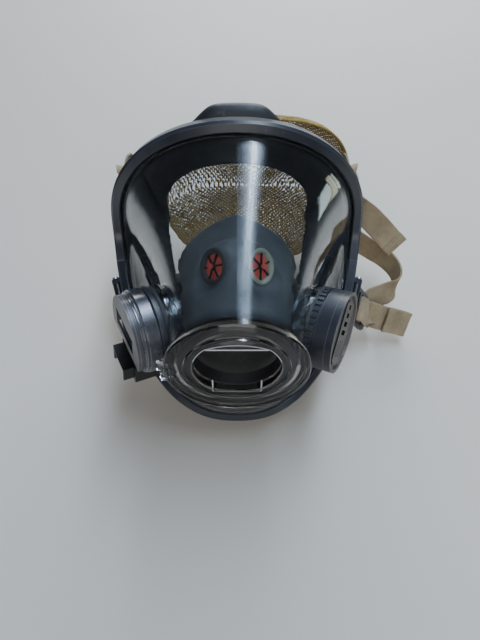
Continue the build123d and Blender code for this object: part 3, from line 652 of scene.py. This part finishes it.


# the round cover is grey on its face only; its wall takes the housing's black, and its slots and grooves are painted
# black as painted shade
cover = node_object("voicemitter_cover_left")
cover.data.materials.append(M["housing_black"])
cover.data.materials.append(M["slot_painted_shade"])
VM_UP = (V(0, 0, 1) - VM_N * VM_N.z).normalized()
VM_BACK = VM_UP.cross(VM_N)
turn = math.radians(50)
cov_x = VM_UP * math.cos(turn) + VM_BACK * math.sin(turn)
cov_y = VM_N.cross(cov_x)
for poly in cover.data.polygons:
    d = cover.matrix_world @ poly.center * 1000 - VM_E
    h, x, y = d.dot(VM_N), d.dot(cov_x), d.dot(cov_y)
    radius = math.hypot(x, y)
    facing = (cover.matrix_world.to_3x3() @ poly.normal).dot(VM_N)
    if radius > 24.2 and facing < 0.5:
        poly.material_index = 1
    # slot walls and groove backs get the painted-shade black
    elif radius < 19.6 and abs(facing) < 0.5 and h < 0.31:
        poly.material_index = 2
    elif radius < 20.0 and facing < -0.5:
        poly.material_index = 2
# the diaphragms and rings behind the covers are painted black as painted shade, so the window reads dark
for node in ("voicemitter_diaphragm_left", "voicemitter_ring_left", "voicemitter_diaphragm_right", "voicemitter_ring_right"):
    node_object(node).data.materials[0] = M["slot_painted_shade"]

# amplifier bracket: bright band with a matt flange behind it
band = lathe("bracket_band", [(22.6, -0.25), (23.4, -0.2), (23.6, -0.4), (23.6, -0.5), (23.6, -1.3), (23.6, -1.35), (23.8, -1.4), (24.4, -1.4), (24.6, -1.55), (24.6, -1.65), (24.6, -2.4), (24.5, -2.5), (24.1, -2.55), (24.1, -2.95), (24.9, -3.0), (25.05, -3.05), (25.2, -3.2), (25.2, -3.35), (25.2, -9.7), (25.2, -9.85), (25.05, -10.0), (24.9, -10.05), (24.1, -10.1), (24.0, -10.2), (24.0, -10.5), (18.3, -10.5), (18.3, -6.0), (22.6, -6.0), (22.6, -0.4)],
             side_v(VM_E, -1), side_v(VM_N, -1), V(0, 0, 1), M["bracket_gloss"], 96)
flange = lathe("bracket_flange", [(18.3, -10.5), (24.0, -10.5), (24.0, -10.85), (24.1, -10.95), (24.9, -11.0), (25.05, -11.05), (25.2, -11.2), (25.2, -11.35), (25.2, -13.2), (25.2, -13.3), (25.05, -13.5), (24.8, -13.55), (24.6, -13.6), (24.6, -13.75), (24.6, -14.9), (24.5, -15.0), (18.3, -15.0)],
               side_v(VM_E, -1), side_v(VM_N, -1), V(0, 0, 1), M["housing_black"], 96)
# outer plate: round, cut off below, with a wide window, on a part-ring
am_o, am_n, am_up, am_back = side_v(VM_E, -1), side_v(VM_N, -1), side_v(VM_UP, -1), side_v(VM_BACK, -1)


def am_at(u, b, h):
    return am_o + am_up * u + am_back * b + am_n * h


def wall(vs, fs, low_loop, high_loop, closed):
    base, n = len(vs), len(low_loop)
    vs += low_loop + high_loop
    for i in range(n if closed else n - 1):
        j = (i + 1) % n
        fs.append((base + i, base + j, base + n + j, base + n + i))


cut_a = math.degrees(math.acos(-9.0 / 23.6))
arc_a = [math.radians(-cut_a + 2 * cut_a * i / 64) for i in range(65)]
rim_uv = [(23.6 * math.cos(a), 23.6 * math.sin(a)) for a in arc_a]
win_uv = [(-4.0, -13.0), (-4.0, 16.0), (8.0, 16.0), (8.0, -13.0)]
flat_tris = mathutils.geometry.tessellate_polygon([[V(u, b, 0) for u, b in rim_uv], [V(u, b, 0) for u, b in win_uv]])
vs, fs = [], []
for h in (3.8, 2.2):
    base = len(vs)
    vs += [am_at(u, b, h) for u, b in rim_uv + win_uv]
    fs += [tuple(base + i for i in tri) for tri in flat_tris]
wall(vs, fs, [am_at(u, b, 2.2) for u, b in rim_uv], [am_at(u, b, 3.8) for u, b in rim_uv], True)
wall(vs, fs, [am_at(u, b, 2.2) for u, b in win_uv], [am_at(u, b, 3.8) for u, b in win_uv], True)
for radius in (23.6, 21.6):
    wall(vs, fs, [am_at(radius * math.cos(a), radius * math.sin(a), 0.0) for a in arc_a], [am_at(radius * math.cos(a), radius * math.sin(a), 2.2) for a in arc_a], False)
for a in (arc_a[0], arc_a[-1]):
    wall(vs, fs, [am_at(21.6 * math.cos(a), 21.6 * math.sin(a), 0.0), am_at(23.6 * math.cos(a), 23.6 * math.sin(a), 0.0)],
         [am_at(21.6 * math.cos(a), 21.6 * math.sin(a), 2.2), am_at(23.6 * math.cos(a), 23.6 * math.sin(a), 2.2)], False)
plate = new_object("bracket_plate", vs, fs, M["plate_gunmetal"])
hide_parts("amplifier_bracket_plate")
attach(plate, "mask")
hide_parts("amplifier_bracket_ring")
for obj in (band, flange):
    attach(obj, "mask")

for side, tag in ((1, "left"), (-1, "right")):
    # rounded collar of the nose cup round the voicemitter duct
    prof = []
    for r, h in ((18.3, -31.2), (19.4, -30.9), (21.0, -31.6), (22.0, -33.2), (22.2, -35.2), (21.5, -37.2), (20.3, -38.6), (19.3, -40.2), (18.6, -41.0), (18.3, -39.0), (18.2, -35.0)):
        prof.append((r, h))
    ring = lathe(f"cup_collar_{tag}", prof, side_v(VM_E, side), side_v(VM_N, side), V(0, 0, 1), M["cup_silicone"], 64)
    subdivide(ring, 1)
    ring.data.materials.clear()
    ring.data.materials.append(M["seal_rubber"])
    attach(ring, "mask")
    # lip of the cup that grips the valve seat
    prof = [(8.5, -2.6), (8.5, 0.7), (9.3, 0.95), (10.4, 0.95), (11.4, 0.2), (12.2, -1.0), (11.6, -2.6), (10.0, -3.4)]
    ring = lathe(f"valve_pad_{tag}", prof, side_v(VALVE, side), side_v(VALVE_N, side), V(0, 0, 1), M["cup_silicone"], 56)
    subdivide(ring, 1)
    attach(ring, "mask")


# valve seats: a ring with a six-armed spider in it
def spider(name, side):
    origin, axis = side_v(VALVE, side), side_v(VALVE_N, side)
    ex = (V(0, 0, 1) - axis * axis.z).normalized()
    ey = axis.cross(ex)
    bm = bmesh.new()

    def put(x, y, h):
        return bm.verts.new(origin + ex * x + ey * y + axis * h)

    for k in range(6):
        ang = math.radians(60 * k + 15)
        c, q = math.cos(ang), math.sin(ang)
        low_v, high_v = [], []
        for rr, hw in ((1.2, 0.55), (3.2, 0.36), (5.8, 0.36), (7.4, 0.55)):
            for sgn in (-1, 1):
                x, y = c * rr - q * hw * sgn, q * rr + c * hw * sgn
                low_v.append(put(x, y, 0.5))
                high_v.append(put(x * 0.995, y * 0.995, 1.45 + (0.25 if rr < 2 else 0.0)))
        for i in range(3):
            a0, a1, b0, b1 = 2 * i, 2 * i + 1, 2 * i + 2, 2 * i + 3
            bm.faces.new((high_v[a0], high_v[a1], high_v[b1], high_v[b0]))
            bm.faces.new((low_v[a0], low_v[b0], low_v[b1], low_v[a1]))
            bm.faces.new((low_v[a0], high_v[a0], high_v[b0], low_v[b0]))
            bm.faces.new((low_v[a1], low_v[b1], high_v[b1], high_v[a1]))
        bm.faces.new((low_v[0], low_v[1], high_v[1], high_v[0]))
        bm.faces.new((low_v[6], high_v[6], high_v[7], low_v[7]))
    rings = []
    for rr, h in ((1.0, 0.5), (1.75, 0.5), (1.8, 1.5), (1.6, 1.85), (1.0, 1.88)):
        rings.append([put(rr * math.cos(2 * math.pi * j / 24), rr * math.sin(2 * math.pi * j / 24), h) for j in range(24)])
    for i in range(5):
        for j in range(24):
            A, B = rings[i], rings[(i + 1) % 5]
            bm.faces.new((A[j], A[(j + 1) % 24], B[(j + 1) % 24], B[j]))
    bmesh.ops.recalc_face_normals(bm, faces=bm.faces)
    bmesh.ops.scale(bm, vec=(MM, MM, MM), verts=bm.verts)
    mesh = bpy.data.meshes.new(name)
    bm.to_mesh(mesh)
    bm.free()
    obj = bpy.data.objects.new(name, mesh)
    bpy.context.scene.collection.objects.link(obj)
    mesh.materials.append(M["valve_black"])
    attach(obj, "mask")
    return obj


# the right seat's dark colour is a painted-shade copy of the olive left seat
for side, tag, slot_name in ((1, "left", "seat_olive"), (-1, "right", "seat_dark")):
    prof = [(7.2, -3.7), (7.2, 0.7), (7.35, 1.15), (7.8, 1.55), (8.4, 1.95), (9.2, 2.2), (9.75, 2.05), (10.05, 1.7), (9.9, 1.3), (8.2, 1.3), (8.1, -3.8)]
    ring = lathe(f"valve_ring_{tag}", prof, side_v(VALVE, side), side_v(VALVE_N, side), V(0, 0, 1), M[slot_name], 64)
    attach(ring, "mask")
    arms = spider(f"valve_spider_{tag}", side)
    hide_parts(f"inhalation_seat_{tag}")

# ------------------------------------------------------------------ webbing
def spline_points(points, per=8):
    """Catmull-Rom through points (Vectors of any length)."""
    out = []
    n = len(points)
    for i in range(n - 1):
        p0 = points[max(0, i - 1)]
        p1, p2 = points[i], points[i + 1]
        p3 = points[min(n - 1, i + 2)]
        for k in range(per):
            t = k / per
            out.append(0.5 * ((2 * p1) + (p2 - p0) * t + (2 * p0 - 5 * p1 + 4 * p2 - p3) * t * t + (3 * p1 - p0 - 3 * p2 + p3) * t ** 3))
    out.append(points[-1].copy())
    return out


def strap(name, path, across, width=19.0, thick=1.35, per=8, seed=0.0, wave=0.35):
    """Webbing along path; across gives the direction over its width."""
    P = spline_points([V(*p) for p in path], per)
    W = spline_points([V(*w) for w in across], per)
    sec = []
    half = width / 2
    # rounded selvedges, flat faces with enough columns to bend
    top = [(-half, 0.0), (-half + 0.25, 0.5), (-half + 0.9, 0.62), (-half + 3.0, 0.5), (-half * 0.5, 0.5), (0.0, 0.5), (half * 0.5, 0.5), (half - 3.0, 0.5), (half - 0.9, 0.62), (half - 0.25, 0.5), (half, 0.0)]
    sec = top + [(x, -y) for x, y in top[-2:0:-1]]
    vs, uv = [], []
    run = 0.0
    for i, p in enumerate(P):
        if i:
            run += (P[i] - P[i - 1]).length
        t = (P[min(len(P) - 1, i + 1)] - P[max(0, i - 1)]).normalized()
        w = W[i]
        w = (w - t * w.dot(t)).normalized()
        n = t.cross(w)
        for x, y in sec:
            lift = wave * (noise.noise(V(run * 0.06, x * 0.05, seed)) + 0.4 * noise.noise(V(run * 0.2, x * 0.12, seed + 7)))
            vs.append(p + w * x + n * (y * thick + lift))
            uv.append((x, run))
    cols = len(sec)
    faces = grid_faces(len(P), cols, False, True)
    faces.append(tuple(range(cols))[::-1])
    last = (len(P) - 1) * cols
    faces.append(tuple(last + j for j in range(cols)))
    obj = new_object(name, vs, faces, M["webbing_tan"])
    layer = obj.data.uv_layers.new(name="weave")
    for loop in obj.data.loops:
        u, v = uv[loop.vertex_index]
        layer.data[loop.index].uv = (u * MM, v * MM)
    return obj, P, W


def stitches(name, rows, body, r=0.28, length=2.2, gap=1.2):
    """Short thread stitches along each row, a list of (point, outward normal)."""
    vs, fs = [], []
    for row_pts in rows:
        run, target = 0.0, 0.6
        for i in range(1, len(row_pts)):
            a, na = row_pts[i - 1]
            b, _ = row_pts[i]
            seg = (b - a).length
            while target < run + seg:
                t = (b - a).normalized()
                p = a + t * (target - run) + na * 0.15
                side = na.cross(t).normalized()
                base = len(vs)
                for j in range(5):
                    u = j / 4 - 0.5
                    h = 0.32 * (1 - (2 * u) ** 2)
                    for k in range(6):
                        ang = 2 * math.pi * k / 6
                        vs.append(p + t * (u * length) + na * (h + r * math.sin(ang)) + side * (r * math.cos(ang)))
                for j in range(4):
                    for k in range(6):
                        fs.append((base + j * 6 + k, base + j * 6 + (k + 1) % 6, base + (j + 1) * 6 + (k + 1) % 6, base + (j + 1) * 6 + k))
                fs.append(tuple(base + k for k in range(6))[::-1])
                fs.append(tuple(base + 24 + k for k in range(6)))
                target += length + gap
            run += seg
    obj = new_object(name, vs, fs, TAN_THREAD)
    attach(obj, body)
    return obj


JOINTS = {j["name"]: j for j in frame["record"]["behaviour"]["joints"]}


def pivot(kind, side):
    """Pin centre, pin direction and rest direction of a buckle, in millimetres."""
    j = JOINTS[f"{kind}_buckle_{side}_swivel"]
    r = JOINTS[f"{kind}_roller_{side}_spin"]
    p = V(*j["pos_m"]) * 1000
    u = V(*j["axis"]).normalized()
    v = (V(*r["pos_m"]) * 1000 - p).normalized()
    return p, u, v, u.cross(v)


def buckle_path(kind, side, upper_first, tail, tail_w, run, run_w):
    """One length of webbing: the free tail, round the roller, and on to the net."""
    p, u, v, w = pivot(kind, side)
    ro = p + v * 17.0
    sgn = 1 if upper_first else -1
    around = [ro + v * 13.0 + w * (3.1 * sgn), ro + v * 6.5 + w * (3.15 * sgn), ro + w * (3.15 * sgn), ro - v * 2.25 + w * (2.2 * sgn), ro - v * 3.15, ro - v * 2.25 - w * (2.2 * sgn),
              ro - w * (3.15 * sgn), ro + v * 6.5 - w * (3.15 * sgn), ro + v * 13.0 - w * (3.1 * sgn)]
    path = [V(*q) for q in tail[::-1]] + around + [V(*q) for q in run]
    wid = [V(*q) for q in tail_w[::-1]]
    usign = 1 if (wid[-1].dot(u) >= 0) else -1
    wid += [u * usign] * len(around)
    for q in run_w:
        q = V(*q)
        wid.append(q if q.dot(u) * usign >= 0 else -q)
    return path, wid, p, v


straps = {}


def buckled_strap(kind, side, upper_first, tail, tail_w, run, run_w, replaced, seed):
    path, wid, p, v = buckle_path(kind, side, upper_first, tail, tail_w, run, run_w)
    obj, P, W = strap(f"{kind}_webbing_{side}", path, wid, per=7, seed=seed)
    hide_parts(*replaced)
    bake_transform(obj)
    straps[kind, side] = (P, W)
    return P, W


# the temple tails hang outside their standing parts, which run inside the mouth of the net
TT = [(82.4, 169.6, 5.0), (86.5, 171.3, -5), (93, 167, -15), (103, 161.5, -22), (113, 155.5, -29.5), (122, 150, -37), (127.4, 146.7, -41.4)]
TW = [(-0.62, -0.1, 0.8), (-0.35, -0.1, 0.95), (0.15, 0.0, 1), (0.45, 0.2, 0.8), (0.7, 0.3, 0.62), (0.78, 0.34, 0.5), (0.78, 0.34, 0.5)]
buckled_strap("temple", "left", False, TT, TW, [(76.8, 171.5, 4.5), (78.2, 175.2, -1.0), (79.2, 180.0, -6.0), (79.6, 186.0, -9.0)], [(-0.65, -0.2, 0.8), (-0.5, -0.2, 0.85), (-0.25, -0.2, 0.95), (0, -0.2, 1)],
              ["temple_strap_tail_left", "temple_strap_left", "temple_strap_loop_left", "temple_strap_hem_left"], 1.0)
buckled_strap("temple", "right", True, [(-81.0, 169.6, 4.5), (-82.6, 171.0, -4), (-83.8, 168.5, -14), (-84, 164.5, -26)], [(0.62, -0.1, 0.8), (0.4, 0, 0.9), (0.1, 0.2, 1), (0.1, 0.35, 0.9)],
              [(-76.5, 173.0, 9), (-70, 180, 4), (-63, 187, 0)], [(0, -0.2, 1)] * 3, ["temple_strap_tail_right", "temple_strap_right", "temple_strap_loop_right"], 2.0)

# the left neck tail is folded back on itself and stands on edge
fold_e = V(0.95, -0.26, -0.176).normalized()
fold_w = V(0.0, 0.62, 0.78)
fold_w = (fold_w - fold_e * fold_w.dot(fold_e)).normalized()
fold_f = fold_w.cross(fold_e)
FOLD = [(2.5, 2.2), (7.5, 3.6), (13, 2.4), (19, -2.4), (25.5, -6.0), (30.5, -7.6), (33.2, -6.9), (33.9, -4.9), (31.8, -3.2), (26.5, -1.9), (20, 1.6), (14.5, 6.6)]
NT = [tuple(V(98.5, 94.5, -61.5) + fold_e * a - fold_f * b) for a, b in FOLD]
NR = [(100.5, 103.5, -58), (111, 110.5, -60), (120.5, 115, -60), (126.5, 121, -58), (128.5, 131, -57), (127, 143, -58), (121, 153.5, -58), (111, 161, -56), (101, 167, -52), (93.5, 176, -48), (91.5, 187, -46)]
buckled_strap("neck", "left", False, NT, [tuple(fold_w)] * len(NT), NR, [(0, 0.4, 0.9)] * 3 + [(0.1, 0.1, 1)] * 8, ["neck_strap_tail_left", "neck_strap_left", "neck_strap_loop_left"], 3.0)
buckled_strap("neck", "right", False, [(-84, 111.5, -67.5), (-77, 122, -72.5), (-66, 131, -75.5), (-52, 138, -76)], [(0, 0.5, 0.85)] * 4,
              [(-87, 112.5, -60), (-88, 126, -56), (-86, 142, -50), (-80, 158, -46), (-70, 174, -45), (-66, 187, -44)], [(0, 0.2, 1)] * 6,
              ["neck_strap_tail_right", "neck_strap_right", "neck_strap_loop_right"], 4.0)

# sewn hem at the end of the visible tail: the webbing folded twice and stitched across
d = (V(*TT[6]) - V(*TT[5])).normalized()
wdir = V(0.78, 0.34, 0.5)
wdir = (wdir - d * wdir.dot(d)).normalized()
hem_n = d.cross(wdir).normalized()
base = V(*TT[5]) + d * 0.4
hem, _, _ = strap("strap_hem_left", [tuple(base + d * 8.0 + hem_n * 1.55), tuple(base + d * 4.2 + hem_n * 1.6), tuple(base + d * 0.6 + hem_n * 1.5)], [tuple(wdir)] * 3, width=19.2, thick=1.5, seed=9.0, wave=0.1)
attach(hem, "mask")
rows = []
for off in (1.8, 5.6):
    rows.append([(base + d * off + wdir * x + hem_n * 2.45, hem_n) for x in (-8.6, -4, 0, 4, 8.6)])
stitches("hem_stitching_left", rows, "mask")


# ------------------------------------------------------------------ harness net
NET_ROWS = ((175.6, 1.0), (181.5, 0.99), (188.0, 0.968), (194.5, 0.915), (200.0, 0.84), (205.0, 0.745), (208.6, 0.64), (210.8, 0.53), (212.2, 0.42), (212.9, 0.30), (213.2, 0.18), (213.3, 0.08), (213.3, 0.0))


def net_point(a, y):
    """Point on the netting dome: a round the dome in degrees, y back from its mouth (0 to 1)."""
    k = y * (len(NET_ROWS) - 1)
    i = min(int(k), len(NET_ROWS) - 2)
    (y0, f0), (y1, f1) = NET_ROWS[i], NET_ROWS[i + 1]
    yy, f = y0 + (y1 - y0) * (k - i), f0 + (f1 - f0) * (k - i)
    c, s = math.cos(math.radians(a)), math.sin(math.radians(a))
    ax, az = 73.2 * f, (78.2 * f if s > 0 else 57.0 * f)
    e = 0.62 if s > 0 else 0.8
    p = V(14 + ax * math.copysign(abs(c) ** e, c), yy, -28 + az * math.copysign(abs(s) ** e, s))
    slack = ease(y * 3.0)
    sag = 0.5 + 0.5 * noise.noise(p * 0.03) + 0.35 * noise.noise(p * 0.085 + V(3, 3, 3))
    n = V(p.x - 14, (p.y - 165) * 0.5, p.z + 28).normalized()
    q = p - n * (0.5 + 3.2 * max(0.0, sag) * slack)
    q.z = max(q.z, -85.2)
    return q


def ribbon_along(vs, fs, pts, outs, half, thick):
    """Flat yarn: four-sided, lying on the surface whose outward direction is given."""
    base, n = len(vs), len(pts)
    for i, p in enumerate(pts):
        t = (pts[min(i + 1, n - 1)] - pts[max(i - 1, 0)]).normalized()
        across = outs[i].cross(t).normalized()
        vs += [p + across * half, p + outs[i] * thick, p - across * half, p - outs[i] * thick]
    for i in range(n - 1):
        for k in range(4):
            a, b = base + 4 * i + k, base + 4 * i + (k + 1) % 4
            fs.append((a, b, b + 4, a + 4))
    fs.append((base + 3, base + 2, base + 1, base))
    fs.append(tuple(base + 4 * (n - 1) + k for k in range(4)))


def tube_along(vs, fs, pts, r, sides=5, closed=False):
    base = len(vs)
    n = len(pts)
    for i, p in enumerate(pts):
        a = pts[(i - 1) % n] if closed or i else pts[0]
        b = pts[(i + 1) % n] if closed or i < n - 1 else pts[-1]
        t = (b - a).normalized()
        ref = V(0.31, 0.9, 0.29) if abs(t.y) < 0.8 else V(0.9, 0.1, 0.3)
        e1 = t.cross(ref).normalized()
        e2 = t.cross(e1)
        for k in range(sides):
            ang = 2 * math.pi * k / sides
            vs.append(p + e1 * (r * math.cos(ang)) + e2 * (r * math.sin(ang)))
    rows = n if closed else n - 1
    for i in range(rows):
        for k in range(sides):
            a = base + i * sides + k
            b = base + i * sides + (k + 1) % sides
            c = base + ((i + 1) % n) * sides + (k + 1) % sides
            d = base + ((i + 1) % n) * sides + k
            fs.append((a, b, c, d))
    if not closed:
        fs.append(tuple(base + k for k in range(sides))[::-1])
        fs.append(tuple(base + (n - 1) * sides + k for k in range(sides)))


# bright beads round the port's mouth stand for its edge highlight: painted highlight
vs, fs = [], []
tube_along(vs, fs, lip_path(), 0.24, 8, True)
arc = [V(x, 0.7, 18.2 + 3.6 * (1 - (x / 16.6) ** 2)) for x in [-16.6 + 33.2 * k / 24 for k in range(25)]]
tube_along(vs, fs, arc, 0.24, 8)
tube_along(vs, fs, [V(x, 0.55, 18.2) for x in [-16.4 + 32.8 * k / 10 for k in range(11)]], 0.42, 8)
for side in (1, -1):
    tube_along(vs, fs, [V(side * 13.9, 1.6, -21.6), V(side * 13.95, 2.4, -19.0), V(side * 13.95, 3.2, -14.4)], 0.42, 8)
lip = new_object("port_lip", vs, fs, M["lip_painted_highlight"])
lip.data.materials.append(M["lip_painted_shade"])
# upper beads keep the painted-highlight white, lower beads get the darker painted-shade copy
for poly in lip.data.polygons:
    c = poly.center * 1000
    if c.z < 8.0 and not (c.z < -14.0 and abs(abs(c.x) - 13.95) < 0.5):
        poly.material_index = 1
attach(lip, "mask")

# the netting is a bias knit: two families of yarns laid over the whole dome
ARC = [0.0]
for (y0, f0), (y1, f1) in zip(NET_ROWS, NET_ROWS[1:]):
    ARC.append(ARC[-1] + math.hypot(y1 - y0, 68.0 * (f1 - f0)))
NET_REACH = ARC[-1]


def net_at(px, pz):
    """Point on the dome for a point of the flat net, in millimetres from its middle."""
    rr = math.hypot(px, pz)
    back = max(0.0, NET_REACH - rr)
    i = 0
    while i < len(ARC) - 2 and ARC[i + 1] < back:
        i += 1
    t = (i + (back - ARC[i]) / (ARC[i + 1] - ARC[i])) / (len(NET_ROWS) - 1)
    return net_point(math.degrees(math.atan2(pz, px)) if rr > 1e-6 else 0.0, min(1.0, t))


vs, fs = [], []
NET_PITCH, NET_STEP = 2.6, 1.3
for diag in (1, -1):
    n = int(NET_REACH / NET_PITCH) + 1
    for k in range(-n, n + 1):
        off = k * NET_PITCH
        if abs(off) >= NET_REACH - 0.5:
            continue
        half = math.sqrt(NET_REACH ** 2 - off ** 2)
        count = int(half / NET_STEP)
        pts, outs = [], []
        for q in range(-count, count + 1):
            run = q * NET_STEP
            # loops of the knit pull the yarn from side to side
            bow = 0.5 * (1 if q % 2 else -1)
            x, z = (off + bow) * 0.7071 + run * 0.7071, diag * (-(off + bow) * 0.7071 + run * 0.7071)
            p = net_at(x, z)
            lift = 0.26 * diag * (1 if (q + k) % 2 else -1)
            outs.append((p - V(14, 165, -28)).normalized())
            pts.append(p + outs[-1] * lift)
        if len(pts) > 3:
            ribbon_along(vs, fs, pts, outs, 0.86, 0.26)
net = new_object("net_knit", vs, fs, M["net_yarn"])
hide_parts("harness_net")
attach(net, "mask")
# bound edge of the net: folded tape with a cord in it
vs, fs = [], []
edge = [net_point(360.0 * k / 160, 0.0) + V(0, -0.2, 0) for k in range(160)]
tube_along(vs, fs, edge, 0.85, 10, True)
binding = new_object("net_binding", vs, fs, M["net_yarn"])
layer = binding.data.uv_layers.new(name="weave")
for loop in binding.data.loops:
    k, s_ = divmod(loop.vertex_index, 10)
    layer.data[loop.index].uv = (s_ * 0.00085, k * 0.0028)
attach(binding, "mask")

# corner points of a flat skin over the dome are computed here; no skin is built from them
for i in range(72):
    for j in range(24):
        p00, p10 = net_point(5.0 * i, j / 24), net_point(5.0 * (i + 1), j / 24)
        p01, p11 = net_point(5.0 * i, (j + 1) / 24), net_point(5.0 * (i + 1), (j + 1) / 24)

# ------------------------------------------------------------------ floor, light, camera
low = CAD_BOX[0][2]
floor = new_object("floor", [(-2.2, -2.0, 0), (2.2, -2.0, 0), (2.2, 2.4, 0), (-2.2, 2.4, 0)], [(0, 1, 2, 3)], None, True, 1.0)
for v in floor.data.vertices:
    v.co.z = low - 0.0003
fm = Tree("floor_pale_painted_falloff")
pale = fm.blend(fm.noise(3.0, 3.0), (0.64, 0.60, 0.535), (0.69, 0.655, 0.595))
where = fm.t.nodes.new("ShaderNodeSeparateXYZ")
fm.link(fm.coord, where.inputs[0])
# painted light falloff: the floor stays pale near the mask and is painted dark towards the sides
painted_falloff_reach = fm.math("SUBTRACT", fm.math("ABSOLUTE", where.outputs[0]), fm.math("MULTIPLY", fm.math("MAXIMUM", where.outputs[1], 0.0), 0.27))
fm.link(fm.blend(fm.span(painted_falloff_reach, 0.0, 1.0, 0.21, 0.30), pale, (0.07, 0.072, 0.078)), fm.p.inputs["Base Color"])
fm.p.inputs["Roughness"].default_value = 0.75
fm.bump((fm.noise(600.0, 3.0), 0.08, 0.0003))
floor.data.materials.append(fm.mat)

world = bpy.data.worlds.new("studio")
bpy.context.scene.world = world
world.use_nodes = True
world.node_tree.nodes["Background"].inputs[0].default_value = (0.80, 0.87, 1.0, 1)
world.node_tree.nodes["Background"].inputs[1].default_value = 0.10


def lamp(name, pos, target, size, power, colour, size_y=None):
    data = bpy.data.lights.new(name, "AREA")
    data.shape = "RECTANGLE"
    data.size, data.size_y = size, size_y or size
    data.energy = power
    data.color = colour
    obj = bpy.data.objects.new(name, data)
    bpy.context.scene.collection.objects.link(obj)
    obj.location = pos
    obj.rotation_euler = (V(*target) - V(*pos)).to_track_quat("-Z", "Y").to_euler()
    return obj


# one ceiling tube with a soft glow round it, built as nested panels, the brightest lowest
for name, x, wide, long, y, z, radiance, tint in (
        ("glow_a", 0.290, 0.62, 1.50, 0.42, 1.318, 0.8, (0.55, 0.74, 1.0)), ("glow_b", 0.292, 0.52, 1.62, 0.45, 1.316, 1.5, (0.55, 0.74, 1.0)), ("glow_c", 0.295, 0.43, 1.72, 0.48, 1.314, 2.3, (0.58, 0.76, 1.0)),
        ("glow_d", 0.297, 0.34, 1.78, 0.52, 1.312, 3.2, (0.60, 0.78, 1.0)), ("glow_e", 0.300, 0.26, 1.80, 0.55, 1.310, 4.3, (0.64, 0.80, 1.0)), ("glow_f", 0.300, 0.19, 1.76, 0.60, 1.308, 5.6, (0.68, 0.83, 1.0)),
        ("glow_g", 0.298, 0.125, 1.66, 0.68, 1.306, 7.6, (0.72, 0.85, 1.0)), ("streak_a", 0.272, 0.018, 1.30, 0.80, 1.300, 34.0, (0.88, 0.94, 1.0)), ("streak_b", 0.318, 0.014, 0.80, 0.95, 1.300, 26.0, (0.86, 0.92, 1.0)),
        ("streak_c", 0.335, 0.010, 1.60, 0.40, 1.302, 12.0, (0.75, 0.85, 1.0))):
    tube_lamp = lamp(name, (x, y, z), (0.0, 0.10, 0.0), wide, radiance * math.pi * wide * long * 0.62, tint, long)
    tube_lamp.rotation_euler = (0, 0, 0)
lamp("front", (0.0, -1.45, 0.85), (0, 0.05, 0), 1.3, 13.0, (1.0, 0.99, 0.97), 0.8)
lamp("back", (0.15, 1.75, 0.80), (0, 0.08, 0), 1.1, 22.0, (0.93, 0.96, 1.0), 0.5)
for name, x, y, z, wide, tall, power, tint in (
        ("pane_a", 0.435, 0.275, -0.030, 0.026, 0.10, 0.024, (0.82, 0.97, 1.0)), ("pane_b", 0.425, 0.305, -0.020, 0.030, 0.13, 0.026, (0.98, 0.96, 0.72)),
        ("pane_c", 0.412, 0.337, -0.025, 0.022, 0.11, 0.022, (0.86, 1.0, 0.84))):
    lamp(name, (x, y, z), (0.06, 0.12, 0.0), wide, power, tint, tall)

cam_data = bpy.data.cameras.new("camera")
cam = bpy.data.objects.new("camera", cam_data)
bpy.context.scene.collection.objects.link(cam)
bpy.context.scene.camera = cam
cam_data.sensor_width = 36.0
cam_data.lens = 27.06
cam_data.clip_start = 0.01
cam_data.shift_x = 0.0046
cam.location = (0.0, -0.1450, 0.2170)
cam.rotation_euler = (math.radians(39.8), 0, 0)
